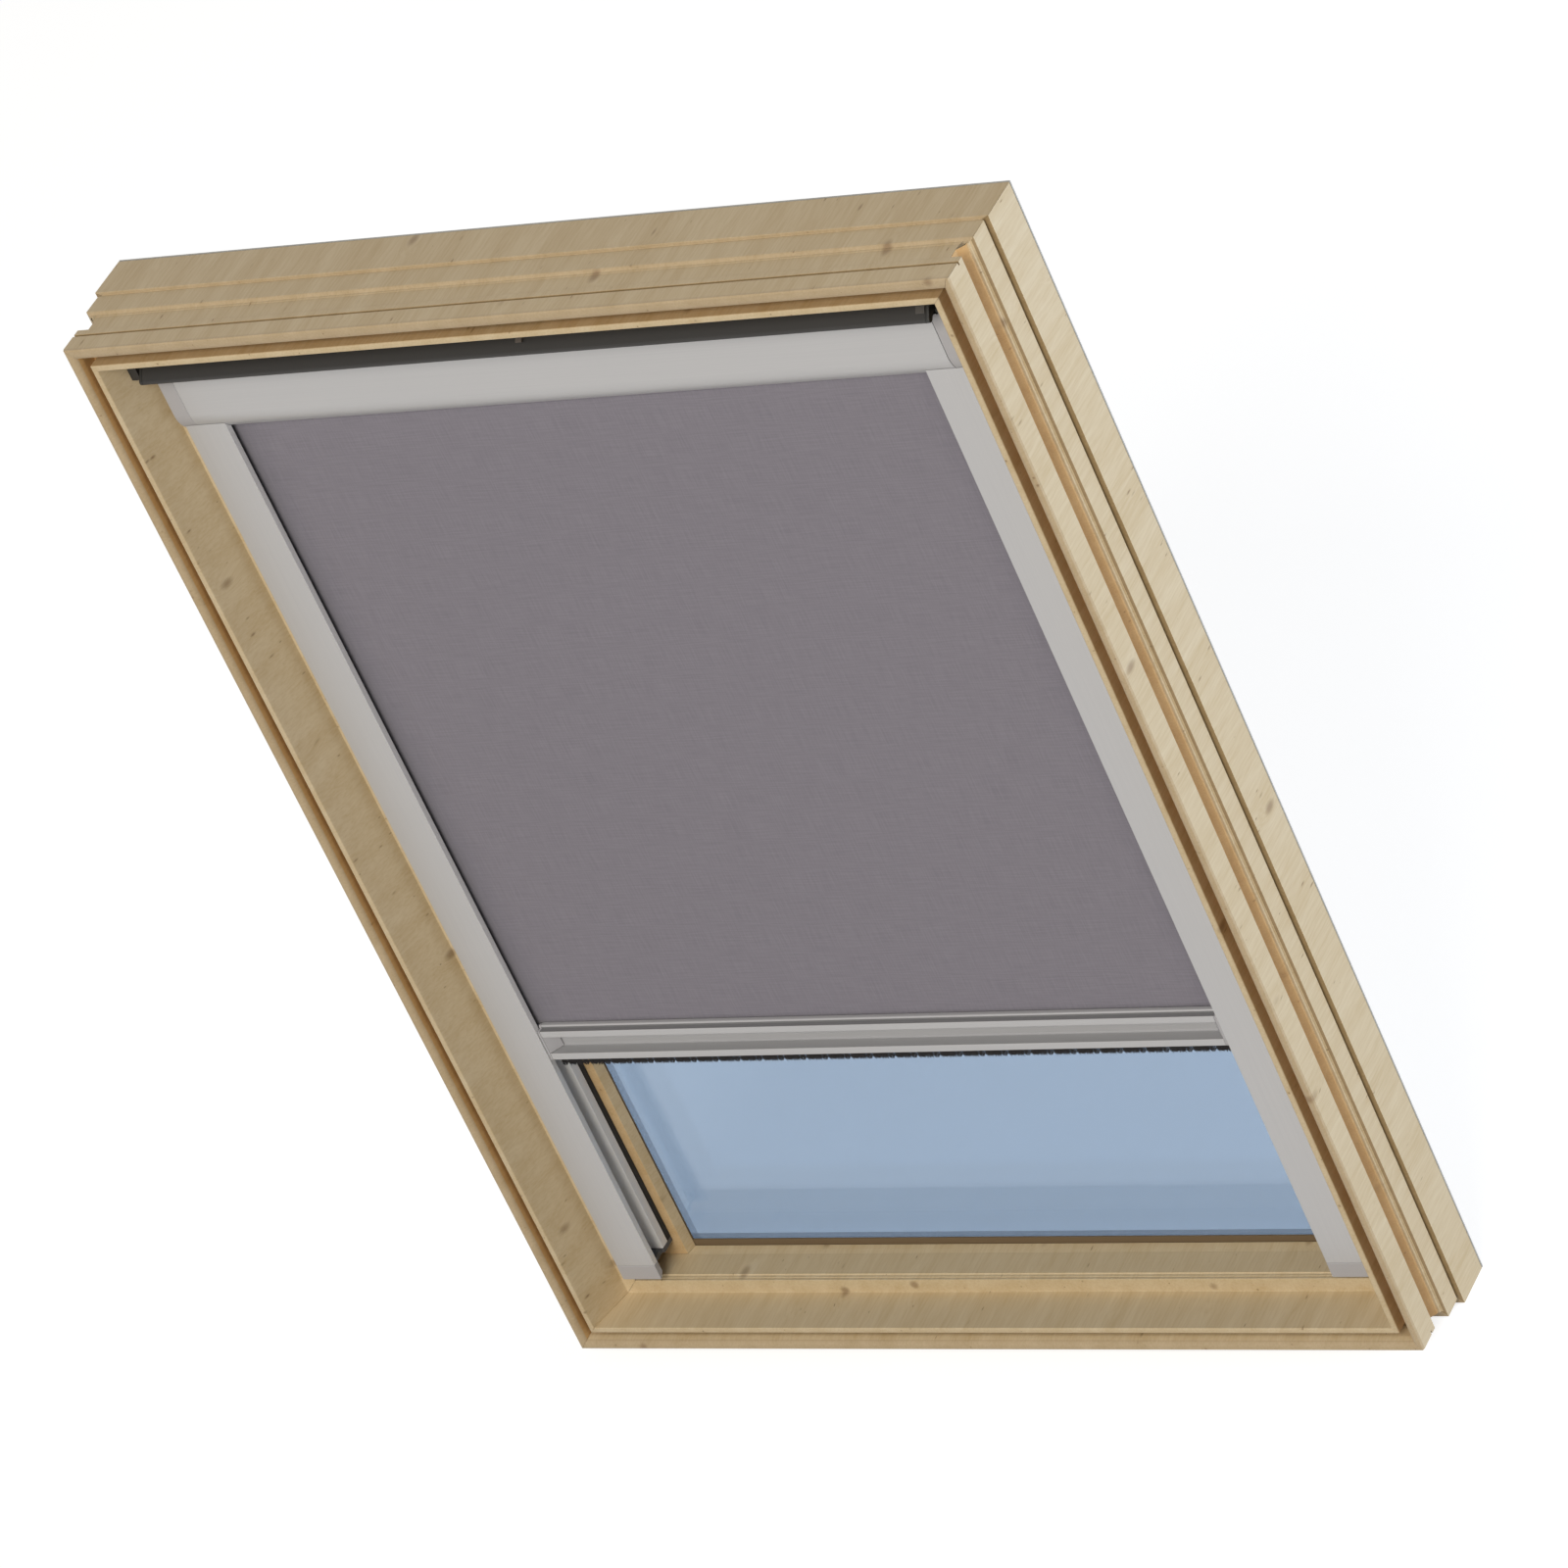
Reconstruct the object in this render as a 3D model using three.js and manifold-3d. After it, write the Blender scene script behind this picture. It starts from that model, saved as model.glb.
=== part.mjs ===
// Centre-pivot roof window in pine with a blackout roller blind fitted inside its sash.
// Millimetres, +Z up the slope, +X to the right seen from the room, room side towards -Y.
import * as THREE from 'three';
import { mergeVertices } from 'three/addons/utils/BufferGeometryUtils.js';
import Module from 'manifold-3d';

const wasm = await Module();
wasm.setup();

// Clearances and resolution
const fitGap = 0.3;
const runningGap = 0.08;
const overrun = 1;
const arcSteps = 5;
const roundSteps = 28;

// Outer frame, seen along a member: depths count from the room face
const frameWidth = 740;
const frameHeight = 980;
const frameCoverThickness = 1.3;
const rimSetSide = 6;
const rimSetHead = 4;
const rimSetSill = 12.4;
const midSetSide = 3;
const midSetHead = 1.8;
const midSetSill = 6;
const rimRound = 3.5;
const rimThicknessSide = 5.3;
const rimThicknessHead = 8.8;
const rimThicknessSill = 8;
const rimReach = 18;
const liningInsetSide = 6.4;
const liningInsetEnds = 0.5;
const bandGrooveAt = 17;
const bandGrooveWidth = 1.8;
const bandGrooveDepth = 2.6;
const bandGrooveEase = 0.2;
const rimBandDepth = 24.3;
const channelDepthSide = 7.5;
const channelDepthEnds = 0.5;
const channelFloorEnd = 33;
const channelRampEnd = 38.4;
const channelRampRise = 5.5;
const ridgeRise = 1.6;
const ridgeWidth = 1.3;
const ridgeEase = 0.35;
const ridgeRiseEnds = 0.5;
const midBandStart = 42.8;
const midBandEnd = 61.5;
const backBandStart = 63.7;
const splitGrooveDepthSide = 2.4;
const splitGrooveDepthEnds = 0.6;
const coverInset = 1.1;
const coverRecess = 0.5;

// Sash timber
const sashGapSide = 8.4;
const sashGapHead = 7.6;
const sashGapSill = 6.9;
const sashSetBack = 1.7;
const lipWidth = 5;
const lipEase = 0.8;
const splaySide = 12.4;
const splayEnds = 0.4;
const ledgeDepth = 41.5;
const ledgeInsetSide = 11.9;
const ledgeInsetHead = 16.2;
const ledgeInsetSill = 12.3;
const sillBeadAt = 2.1;
const sillBeadWidth = 1.1;
const sillBeadDepth = 0.8;
const sillBeadEase = 0.3;
const sillRiseAt = 5.5;
const sillRise = 1;
const sillRiseEase = 0.5;
const rebateDrop = 28.5;
const rebateEase = 0.2;
const stopWidthSide = 35.3;
const stopWidthHead = 23;
const stopWidthSill = 0.4;
const beadDrop = 9;
const beadSplay = 3.1;
const beadSplayEnds = 0.7;
const glassBedSide = 13.9;
const glassBedHead = 14;
const glassBedSill = 13;
const sealThickness = 1;
const sealReachEnds = 4.4;
const sealWidth = 3;
const sealAt = 64;

// Glazing
const gasketThickness = 1;
const gasketSightSill = 5.8;
const gasketSightSide = 0.5;
const gasketSightHead = 3;
const paneThickness = 4;
const paneEdgeGap = 2;
const spacerThickness = 9.7;
const spacerInset = 1;
const spacerWidthSide = 6.5;
const spacerWidthEnds = 10;

// Exterior sash cover
const sashCoverThickness = 1.5;
const sashCoverStand = 1.5;
const sashCoverLip = 1.6;
const sashCoverInset = 0.3;
const sashCoverSight = 3.4;

// Centre pivots
const pivotDepth = 50;
const pivotPinRadius = 4;
const pivotPinReach = 11.4;
const pivotBoreClear = 1;
const pivotPlateWidth = 20;
const pivotPlateLength = 90;
const pivotPlateThickness = 1.8;
const sashPlateThickness = 2.8;

// Blind head box: front plane, curved lower edge, walls
const boxSideGap = 3.9;
const boxCapWidth = 13.7;
const boxProud = 8.7;
const boxBackGap = 0.8;
const boxHeadGap = 3;
const boxStraight = 44.6;
const boxCurve = 22;
const boxTopRound = 5;
const boxWall = 1.4;
const boxSlotGap = 0.6;
const boxBackHeight = 64;
const boxBracketInset = 124;
const boxBracketWidth = 26;
const boxBracketDepth = 22;
const boxBracketFold = 9;
const boxBracketThickness = 1.8;
const boxScrewRadius = 3.2;
const boxScrewHead = 1.4;

// Roller tube and wound fabric
const fabricSetBack = 10;
const fabricThickness = 0.6;
const fabricEdgeGap = 9.8;
const rollerDrop = 36;
const rollRadius = 9.6;
const tubeRadius = 8;
const tubeWall = 1;
const tubeKeyWidth = 2;
const tubeKeyDepth = 0.6;
const tubeEndGap = 4.3;
const plugLength = 12;
const plugPinRadius = 3;
const plugPinReach = 4.4;
const plugFlangeThickness = 1.6;
const wrapRise = 0.5;

// Side rails
const railProud = 5.5;
const railDepth = 27.9;
const railFlangeReach = 5;
const railWidth = 33.1;
const railWall = 1.8;
const railWebGap = 3.2;
const railLipDepth = 5.4;
const railLipWidth = 3.1;
const railSlotDepth = 19.7;
const railFootRise = 20.6;
const railCapHeight = 13.7;
const railCapEase = 4;
const railSealWidth = 6;
const footInset = 2.6;
const clipHeight = 26;
const clipWidth = 4.4;
const clipShares = [0.48];

// Bottom bar of the blind, at its resting height
const barRise = 208.6;
const barSetBack = 1;
const barDepth = 15.9;
const barEndGap = 2.1;
const barLipHeight = 6.2;
const gripHeight = 15.7;
const gripDepth = 10.5;
const gripRound = 1;
const barBandHeight = 5.9;
const beadHeight = 2.6;
const clampRibWidth = 3.9;
const clampTailWidth = 3.4;
const barWall = 1.5;
const barEase = 0.5;
const endPlate = 1.9;
const endWedge = 8;
const gliderReach = 20;
const gliderSetBack = 6;
const gliderDepth = 11.2;
const gliderHeight = 19;
const gliderEase = 2;
const brushSlotWidth = 4.6;
const brushSlotHeight = 3.1;
const brushReach = 12.2;
const strandCount = 340;
const strandRadius = 0.42;
const strandTip = 0.2;
const strandBite = 0.8;
const strandStagger = 0.9;
const strandUneven = 1.1;

// Control bar across the top of the sash and the vent flap behind it
const leverSideGap = 2.5;
const leverCapWidth = 6;
const leverProud = 27.3;
const leverDrop = 24;
const leverNoseRound = 2.4;
const leverDepth = 15.8;
const leverSlopeRun = 8.7;
const leverSlopeRise = 9.7;
const leverBackRound = 1.2;
const leverBackRise = 1.6;
const leverGripDepth = 2.2;
const leverGripInset = 4;
const leverPivotRun = 12.3;
const leverPivotRise = 2.9;
const leverPinRadius = 2;
const leverPinReach = 6;
const latchWidth = 5;
const latchRun = 3.4;
const latchHeight = 2;
const latchAt = -0.8;
const latchShare = 0.46;
const padWidth = 7;
const padRun = 5.6;
const padThickness = 0.5;
const padShare = 0.3;
const blockFootRise = 0.3;
const blockHeadGap = 0.8;
const blockSetBack = 7.8;
const blockBackGap = 3.5;
const flapPivotProud = 6.5;
const flapPivotDrop = 4.6;
const flapPinRadius = 1.3;
const flapKnuckle = 2.7;
const flapFootRise = 1;
const flapThickness = 2;
const flapEndGap = 9.4;
const flapPinReach = 5;
const keepWidth = 62;
const keepDepth = 16;
const keepThickness = 1.6;
const keepAt = 9;

// Finishes: colour, roughness, metalness
const finish = (color, roughness, metalness) =>
  new THREE.MeshStandardMaterial({ color, roughness, metalness });
const pine = () => finish(0xc9ad84, 0.55, 0);
const aluminium = () => finish(0xbbbab7, 0.38, 0.55);
const roofMetal = () => finish(0x55585a, 0.45, 0.6);
const greyPlastic = () => finish(0xa9aaac, 0.5, 0);
const darkPlastic = () => finish(0x393837, 0.5, 0);
const blackRubber = () => finish(0x1f1f21, 0.8, 0);
const steel = () => finish(0xa4a6a8, 0.35, 0.9);
const glass = () => {
  const clear = finish(0xbcd0de, 0.05, 0);
  clear.transparent = true;
  clear.opacity = 0.35;
  return clear;
};
const blackoutCloth = () => finish(0x807880, 0.85, 0);
const brushHair = () => finish(0x2a2226, 0.9, 0);

const roofWindow = new THREE.Group();

function add(name, geometry, material) {
  geometry.deleteAttribute('uv');
  const mesh = new THREE.Mesh(geometry, material);
  mesh.name = name;
  roofWindow.add(mesh);
  return mesh;
}

const fromFace = (depth) => depth - frameDepth / 2;

// Points of an arc about a centre, angles in degrees
function arc(across, up, radius, from, to, steps = arcSteps) {
  return Array.from({ length: steps + 1 }, (_, i) => {
    const angle = THREE.MathUtils.degToRad(from + ((to - from) * i) / steps);
    return [across + radius * Math.cos(angle), up + radius * Math.sin(angle)];
  });
}

function circle(across, up, radius, steps = roundSteps) {
  return arc(across, up, radius, 0, 360, steps).slice(0, steps);
}

function rectangle(left, right, low, high) {
  return [[left, low], [right, low], [right, high], [left, high]];
}

function shapeOf(points, holes = []) {
  const shape = new THREE.Shape(points.map(([a, b]) => new THREE.Vector2(a, b)));
  shape.holes = holes.map((hole) => new THREE.Path(hole.map(([a, b]) => new THREE.Vector2(a, b))));
  return shape;
}

function extrude(points, holes, length) {
  return new THREE.ExtrudeGeometry(shapeOf(points, holes), { depth: length, bevelEnabled: false });
}

// Outline in (depth, height), run along X
function along(points, left, right, holes = []) {
  const geometry = extrude(points, holes, right - left);
  geometry.applyMatrix4(new THREE.Matrix4().makeBasis(
    new THREE.Vector3(0, 1, 0), new THREE.Vector3(0, 0, 1), new THREE.Vector3(1, 0, 0)));
  return geometry.translate(left, fromFace(0), 0);
}

// Outline in (x, depth), run up Z
function upright(points, low, high, holes = []) {
  return extrude(points, holes, high - low).translate(0, fromFace(0), low);
}

// Outline in (x, height), run through the depth
function through(points, front, back, holes = []) {
  const geometry = extrude(points, holes, back - front);
  geometry.rotateX(Math.PI / 2);
  return geometry.translate(0, fromFace(back), 0);
}

const onSide = (side, points) => points.map(([x, other]) => [side * x, other]);

function solid(geometry) {
  const bare = geometry.clone();
  bare.deleteAttribute('uv');
  bare.deleteAttribute('normal');
  const merged = mergeVertices(bare);
  return new wasm.Manifold(new wasm.Mesh({
    numProp: 3,
    vertProperties: new Float32Array(merged.attributes.position.array),
    triVerts: new Uint32Array(merged.index.array),
  }));
}

function geometryOf(body) {
  const mesh = body.getMesh();
  const geometry = new THREE.BufferGeometry();
  geometry.setAttribute('position', new THREE.BufferAttribute(new Float32Array(mesh.vertProperties), 3));
  geometry.setIndex(new THREE.BufferAttribute(new Uint32Array(mesh.triVerts), 1));
  const loose = geometry.toNonIndexed();
  loose.computeVertexNormals();
  return loose;
}

function cut(geometry, ...tools) {
  return geometryOf(tools.reduce((body, tool) => body.subtract(solid(tool)), solid(geometry)));
}

function fuse(geometry, ...others) {
  return geometryOf(others.reduce((body, other) => body.add(solid(other)), solid(geometry)));
}

// A rod along X about a depth and a height
function rod(depth, height, radius, left, right, steps = roundSteps) {
  return along(circle(depth, height, radius, steps), left, right);
}

// One timber member: every profile corner runs from its own start to its own end,
// so that neighbours with different sections still meet on one shared mitre face
function member(starts, ends, faces) {
  const count = starts.length;
  const index = [];
  for (let i = 0; i < count; i += 1) {
    const j = (i + 1) % count;
    index.push(i, j, count + j, i, count + j, count + i);
  }
  for (const [a, b, c] of faces) {
    index.push(a, c, b, count + a, count + b, count + c);
  }
  const corners = [...starts, ...ends];
  const volume = index.reduce((sum, _, k) => (k % 3 ? sum : sum + corners[index[k]]
    .dot(corners[index[k + 1]].clone().cross(corners[index[k + 2]]))), 0);
  if (volume < 0) index.reverse();
  const geometry = new THREE.BufferGeometry().setFromPoints(corners);
  geometry.setIndex(index);
  const loose = geometry.toNonIndexed();
  loose.computeVertexNormals();
  return loose;
}

// Four mitred members from rows of side reach, depth, head height and sill height
function mitredRing(names, rows, material) {
  const flat = rows.map(([x, depth]) => new THREE.Vector2(x, depth));
  const turn = THREE.ShapeUtils.isClockWise(flat) ? [...rows].reverse() : rows;
  const section = turn.map(([x, depth]) => new THREE.Vector2(x, depth));
  const faces = THREE.ShapeUtils.triangulateShape(section, []);
  const half = fitGap / 2;
  const side = (sign) => member(
    turn.map(([x, depth, , sill]) => new THREE.Vector3(sign * x, fromFace(depth), sill + half)),
    turn.map(([x, depth, head]) => new THREE.Vector3(sign * x, fromFace(depth), head - half)), faces);
  const level = (pick) => member(
    turn.map((row) => new THREE.Vector3(half - row[0], fromFace(row[1]), row[pick])),
    turn.map((row) => new THREE.Vector3(row[0] - half, fromFace(row[1]), row[pick])), faces);
  const built = [side(-1), side(1), level(2), level(3)];
  return names.map((name, i) => ({ name, geometry: built[i], material: material() }));
}

// Levels of the frame: side reach, head height, sill height
const level = (side, head, sill) => [frameWidth / 2 - side, frameHeight - head, sill];
const rimLevel = level(rimSetSide, rimSetHead, rimSetSill);
const midLevel = level(midSetSide, midSetHead, midSetSill);
const backLevel = level(0, 0, 0);
const rimInside = level(rimSetSide + rimThicknessSide, rimSetHead + rimThicknessHead,
  rimSetSill + rimThicknessSill);
const liningInside = level(rimSetSide + rimThicknessSide + liningInsetSide,
  rimSetHead + rimThicknessHead + liningInsetEnds, rimSetSill + rimThicknessSill + liningInsetEnds);
const inward = ([x, head, sill], side, top, bottom = top) => [x - side, head - top, sill + bottom];
const row = (levels, depth) => [levels[0], depth, levels[1], levels[2]];

function frameRows() {
  const rounding = arc(0, 0, rimRound, -90, 0).map(([out, down]) =>
    row(inward(rimLevel, rimRound - out, rimRound - out), rimRound + down));
  const channel = inward(rimLevel, channelDepthSide, channelDepthEnds);
  const ramp = inward(rimLevel, channelDepthSide - channelRampRise, channelDepthEnds);
  const firstRidge = inward(ramp, -ridgeRise, -ridgeRiseEnds);
  const secondRidge = inward(firstRidge, -ridgeRise, -ridgeRiseEnds);
  const split = inward(midLevel, splitGrooveDepthSide, splitGrooveDepthEnds);
  const timberEnd = frameDepth - frameCoverThickness - fitGap;
  const groove = inward(rimLevel, 0, bandGrooveDepth);
  const grooveEnd = bandGrooveAt + bandGrooveWidth;
  return [
    row(rimInside, 0),
    ...rounding,
    row(rimLevel, bandGrooveAt),
    row(groove, bandGrooveAt + bandGrooveEase),
    row(groove, grooveEnd - bandGrooveEase),
    row(rimLevel, grooveEnd),
    row(rimLevel, rimBandDepth),
    row(channel, rimBandDepth + ridgeEase),
    row(channel, channelFloorEnd),
    row(ramp, channelRampEnd),
    row(ramp, channelRampEnd + ridgeWidth),
    row(firstRidge, channelRampEnd + ridgeWidth + ridgeEase),
    row(firstRidge, channelRampEnd + ridgeWidth * 2 + ridgeEase),
    row(secondRidge, channelRampEnd + (ridgeWidth + ridgeEase) * 2),
    row(midLevel, midBandStart),
    row(midLevel, midBandEnd),
    row(split, midBandEnd + ridgeEase),
    row(split, backBandStart - ridgeEase),
    row(backLevel, backBandStart),
    row(backLevel, timberEnd),
    row(liningInside, timberEnd),
    row(liningInside, rimReach + ridgeEase),
    row(rimInside, rimReach),
  ];
}

// Depths of the glazing, from its rebate to the outer cover and the back of the frame
const rebateDepth = ledgeDepth + rebateDrop;
const beadDepth = rebateDepth + beadDrop;
const bedDepth = beadDepth + rebateEase;
const gasketFront = bedDepth + fitGap;
const innerPaneFront = gasketFront + gasketThickness + fitGap;
const spacerFront = innerPaneFront + paneThickness + fitGap;
const outerPaneFront = spacerFront + spacerThickness + fitGap;
const coverLipFront = outerPaneFront + paneThickness + fitGap;
const coverPlateFront = coverLipFront + sashCoverLip;
const coverPlateBack = coverPlateFront + sashCoverThickness;
const sashDepthEnd = coverPlateFront - sashCoverStand;
const frameDepth = coverPlateBack + coverRecess;

// Levels of the sash
const sashOutside = [rimInside[0] - sashGapSide, rimInside[1] - sashGapHead, rimInside[2] + sashGapSill];
const reveal = inward(sashOutside, lipWidth, lipWidth);
const revealEnd = inward(reveal, splaySide, splayEnds);
const ledge = inward(revealEnd, ledgeInsetSide, ledgeInsetHead, ledgeInsetSill);
const ledgeRaised = inward(ledge, 0, 0, sillRise);
const rebate = inward(ledgeRaised, stopWidthSide, stopWidthHead, stopWidthSill);
const sight = inward(rebate, beadSplay, beadSplayEnds);
const glassBed = inward(sight, -glassBedSide, -glassBedHead, -glassBedSill);
const sashMiddle = (sashOutside[1] + sashOutside[2]) / 2;

// Places of the blind, taken from the sash that carries it
const boxHalfWidth = revealEnd[0] - boxSideGap;
const boxCapInside = boxHalfWidth - boxCapWidth;
const boxFront = ledgeDepth - boxProud;
const boxBack = rebateDepth - boxBackGap;
const boxTop = ledge[1] - boxHeadGap;
const boxStraightFrom = boxTop - boxStraight;
const boxCurveBottom = boxStraightFrom - boxCurve;
const railFront = ledgeDepth - railProud;
const railBack = railFront + railDepth;
const railOuter = ledge[0] + railFlangeReach;
const railInner = railOuter - railWidth;
const railWebFace = ledge[0] - railWebGap;
const railBackFlange = railFront + railSlotDepth;
const railFoot = ledge[2] + railFootRise;
const fabricDepth = railFront + fabricSetBack;
const fabricHalfWidth = railWebFace - fabricEdgeGap;
const rollerHeight = boxTop - rollerDrop;
const rollerDepth = fabricDepth + fabricThickness / 2 + fitGap + rollRadius;
const tubeHalfLength = boxCapInside - tubeEndGap;
const barFoot = railFoot + barRise;
const barTop = barFoot + barLipHeight + gripHeight + barBandHeight;
const barFront = railFront + barSetBack;
const barHalfLength = railInner - barEndGap;
const leverHalfLength = revealEnd[0] - leverSideGap;
const leverFront = ledgeDepth - leverProud;
const leverFoot = reveal[1] - leverDrop;
const flapPivotDepth = ledgeDepth - flapPivotProud;
const flapPivotHeight = reveal[1] - flapPivotDrop;

function sashRows() {
  const bead = inward(ledge, 0, 0, -sillBeadDepth);
  return [
    row(inward(sashOutside, lipEase, lipEase), sashSetBack),
    row(sashOutside, sashSetBack + lipEase),
    row(sashOutside, sashDepthEnd),
    row(glassBed, sashDepthEnd),
    row(glassBed, bedDepth),
    row(sight, beadDepth),
    row(rebate, rebateDepth + rebateEase),
    row(ledgeRaised, rebateDepth),
    row(ledgeRaised, ledgeDepth + sillRiseAt + sillRiseEase),
    row(ledge, ledgeDepth + sillRiseAt),
    row(ledge, ledgeDepth + sillBeadAt + sillBeadWidth),
    row(bead, ledgeDepth + sillBeadAt + sillBeadWidth - sillBeadEase),
    row(bead, ledgeDepth + sillBeadAt + sillBeadEase),
    row(ledge, ledgeDepth + sillBeadAt),
    row(ledge, ledgeDepth),
    row(revealEnd, ledgeDepth),
    row(reveal, sashSetBack + lipEase),
    row(inward(reveal, -lipEase, -lipEase), sashSetBack),
  ];
}

// A plate ring with an outer and an inner outline given as levels
function ring(outer, inner, front, back) {
  return through(rectangle(-outer[0], outer[0], outer[2], outer[1]), front, back,
    [rectangle(-inner[0], inner[0], inner[2], inner[1])]);
}

// Frame with its pivot pockets
function buildFrame() {
  const pocketHalf = pivotPlateWidth / 2 + fitGap;
  const pocketLength = pivotPlateLength / 2 + fitGap;
  const inside = liningInside[0];
  const pocketFloor = inside + pivotPlateThickness + fitGap * 2;
  const names = ['frame_left', 'frame_right', 'frame_head', 'frame_sill'];
  mitredRing(names, frameRows(), pine).forEach(({ name, geometry, material }, i) => {
    if (i > 1) {
      add(name, geometry, material);
      return;
    }
    const outline = rectangle(inside - overrun, pocketFloor,
      sashMiddle - pocketLength, sashMiddle + pocketLength);
    const pocket = through(onSide(i ? 1 : -1, outline), pivotDepth - pocketHalf, pivotDepth + pocketHalf);
    add(name, cut(geometry, pocket), material);
  });
  for (const [side, name] of [[-1, 'pivot_pin_left'], [1, 'pivot_pin_right']]) {
    const near = inside + fitGap;
    const far = near + pivotPlateThickness;
    const outline = rectangle(near, far,
      sashMiddle - pivotPlateLength / 2, sashMiddle + pivotPlateLength / 2);
    const plate = through(onSide(side, outline),
      pivotDepth - pivotPlateWidth / 2, pivotDepth + pivotPlateWidth / 2);
    const tip = inside - pivotPinReach;
    const span = [side * tip, side * (far - fitGap)].sort((a, b) => a - b);
    add(name, fuse(plate, rod(pivotDepth, sashMiddle, pivotPinRadius, ...span)), steel());
  }
  const coverOuter = backLevel;
  const coverInner = inward(liningInside, -coverInset, -coverInset);
  const coverFront = frameDepth - frameCoverThickness;
  add('frame_cover', ring(coverOuter, coverInner, coverFront, frameDepth), roofMetal());
  const keepTop = liningInside[1] - fitGap;
  add('lock_keep', through(rectangle(-keepWidth / 2, keepWidth / 2, keepTop - keepThickness, keepTop),
    keepAt, keepAt + keepDepth), steel());
}

// Sash timber, seal, glazing and exterior covers
function buildSash() {
  const outside = sashOutside[0];
  const pocketHalf = pivotPlateWidth / 2 + fitGap;
  const pocketLength = pivotPlateLength / 2 + fitGap;
  const plateFar = outside - fitGap;
  const plateNear = plateFar - sashPlateThickness;
  const boreEnd = liningInside[0] - pivotPinReach - overrun;
  const names = ['sash_left', 'sash_right', 'sash_head', 'sash_sill'];
  mitredRing(names, sashRows(), pine).forEach(({ name, geometry, material }, i) => {
    if (i > 1) {
      add(name, geometry, material);
      return;
    }
    const side = i ? 1 : -1;
    const outline = rectangle(plateNear - fitGap, outside + overrun,
      sashMiddle - pocketLength, sashMiddle + pocketLength);
    const pocket = through(onSide(side, outline), pivotDepth - pocketHalf, pivotDepth + pocketHalf);
    const span = [side * boreEnd, side * outside].sort((a, b) => a - b);
    const bore = rod(pivotDepth, sashMiddle, pivotPinRadius + pivotBoreClear, ...span);
    add(name, cut(geometry, pocket, bore), material);
  });
  for (const [side, name] of [[-1, 'pivot_plate_left'], [1, 'pivot_plate_right']]) {
    const span = [side * plateNear, side * plateFar].sort((a, b) => a - b);
    add(name, along(rectangle(pivotDepth - pivotPlateWidth / 2, pivotDepth + pivotPlateWidth / 2,
      sashMiddle - pivotPlateLength / 2, sashMiddle + pivotPlateLength / 2), ...span,
    [circle(pivotDepth, sashMiddle, pivotPinRadius + runningGap)]), steel());
  }
  add('sash_seal', ring(inward(sashOutside, -fitGap - sealThickness, -fitGap - sealReachEnds),
    inward(sashOutside, -fitGap, -fitGap), sealAt, sealAt + sealWidth), blackRubber());

  const paneOuter = inward(glassBed, paneEdgeGap, paneEdgeGap);
  const gasketInner = inward(sight, gasketSightSide - fitGap, gasketSightHead, gasketSightSill);
  const gasketBack = gasketFront + gasketThickness;
  add('glazing_gasket', ring(paneOuter, gasketInner, gasketFront, gasketBack), blackRubber());
  const pane = (front) => through(rectangle(-paneOuter[0], paneOuter[0], paneOuter[2], paneOuter[1]),
    front, front + paneThickness);
  add('glass_inner', pane(innerPaneFront), glass());
  const spacerOuter = inward(paneOuter, spacerInset, spacerInset);
  add('glass_spacer', ring(spacerOuter, inward(spacerOuter, spacerWidthSide, spacerWidthEnds),
    spacerFront, spacerFront + spacerThickness), darkPlastic());
  add('glass_outer', pane(outerPaneFront), glass());

  const coverOuter = inward(sashOutside, sashCoverInset, sashCoverInset);
  const coverInner = inward(sight, -sashCoverSight, -sashCoverSight, sashCoverSight - beadSplayEnds);
  const rimFront = sashDepthEnd + fitGap;
  const coverRows = [
    row(coverOuter, rimFront), row(coverOuter, coverPlateBack),
    row(coverInner, coverPlateBack), row(coverInner, coverLipFront),
    row(inward(coverInner, -sashCoverLip, -sashCoverLip), coverLipFront),
    row(inward(coverInner, -sashCoverLip, -sashCoverLip), coverPlateFront),
    row(inward(coverOuter, sashCoverLip, sashCoverLip), coverPlateFront),
    row(inward(coverOuter, sashCoverLip, sashCoverLip), rimFront),
  ];
  mitredRing(['sash_cover_left', 'sash_cover_right', 'sash_cover_head', 'sash_cover_sill'],
    coverRows, roofMetal).forEach(({ name, geometry, material }) => add(name, geometry, material));
}

// Outline of the head box: flat front, rounded top, curved lower edge
function boxOutline(offset = 0) {
  const centre = boxFront + boxCurve;
  return [
    ...arc(centre, boxStraightFrom, boxCurve + offset, 270, 180, arcSteps * 2),
    ...arc(boxFront + boxTopRound, boxTop - boxTopRound, boxTopRound + offset, 180, 90),
    [boxBack + offset, boxTop + offset],
    [boxBack + offset, boxCurveBottom - offset],
  ];
}

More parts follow.
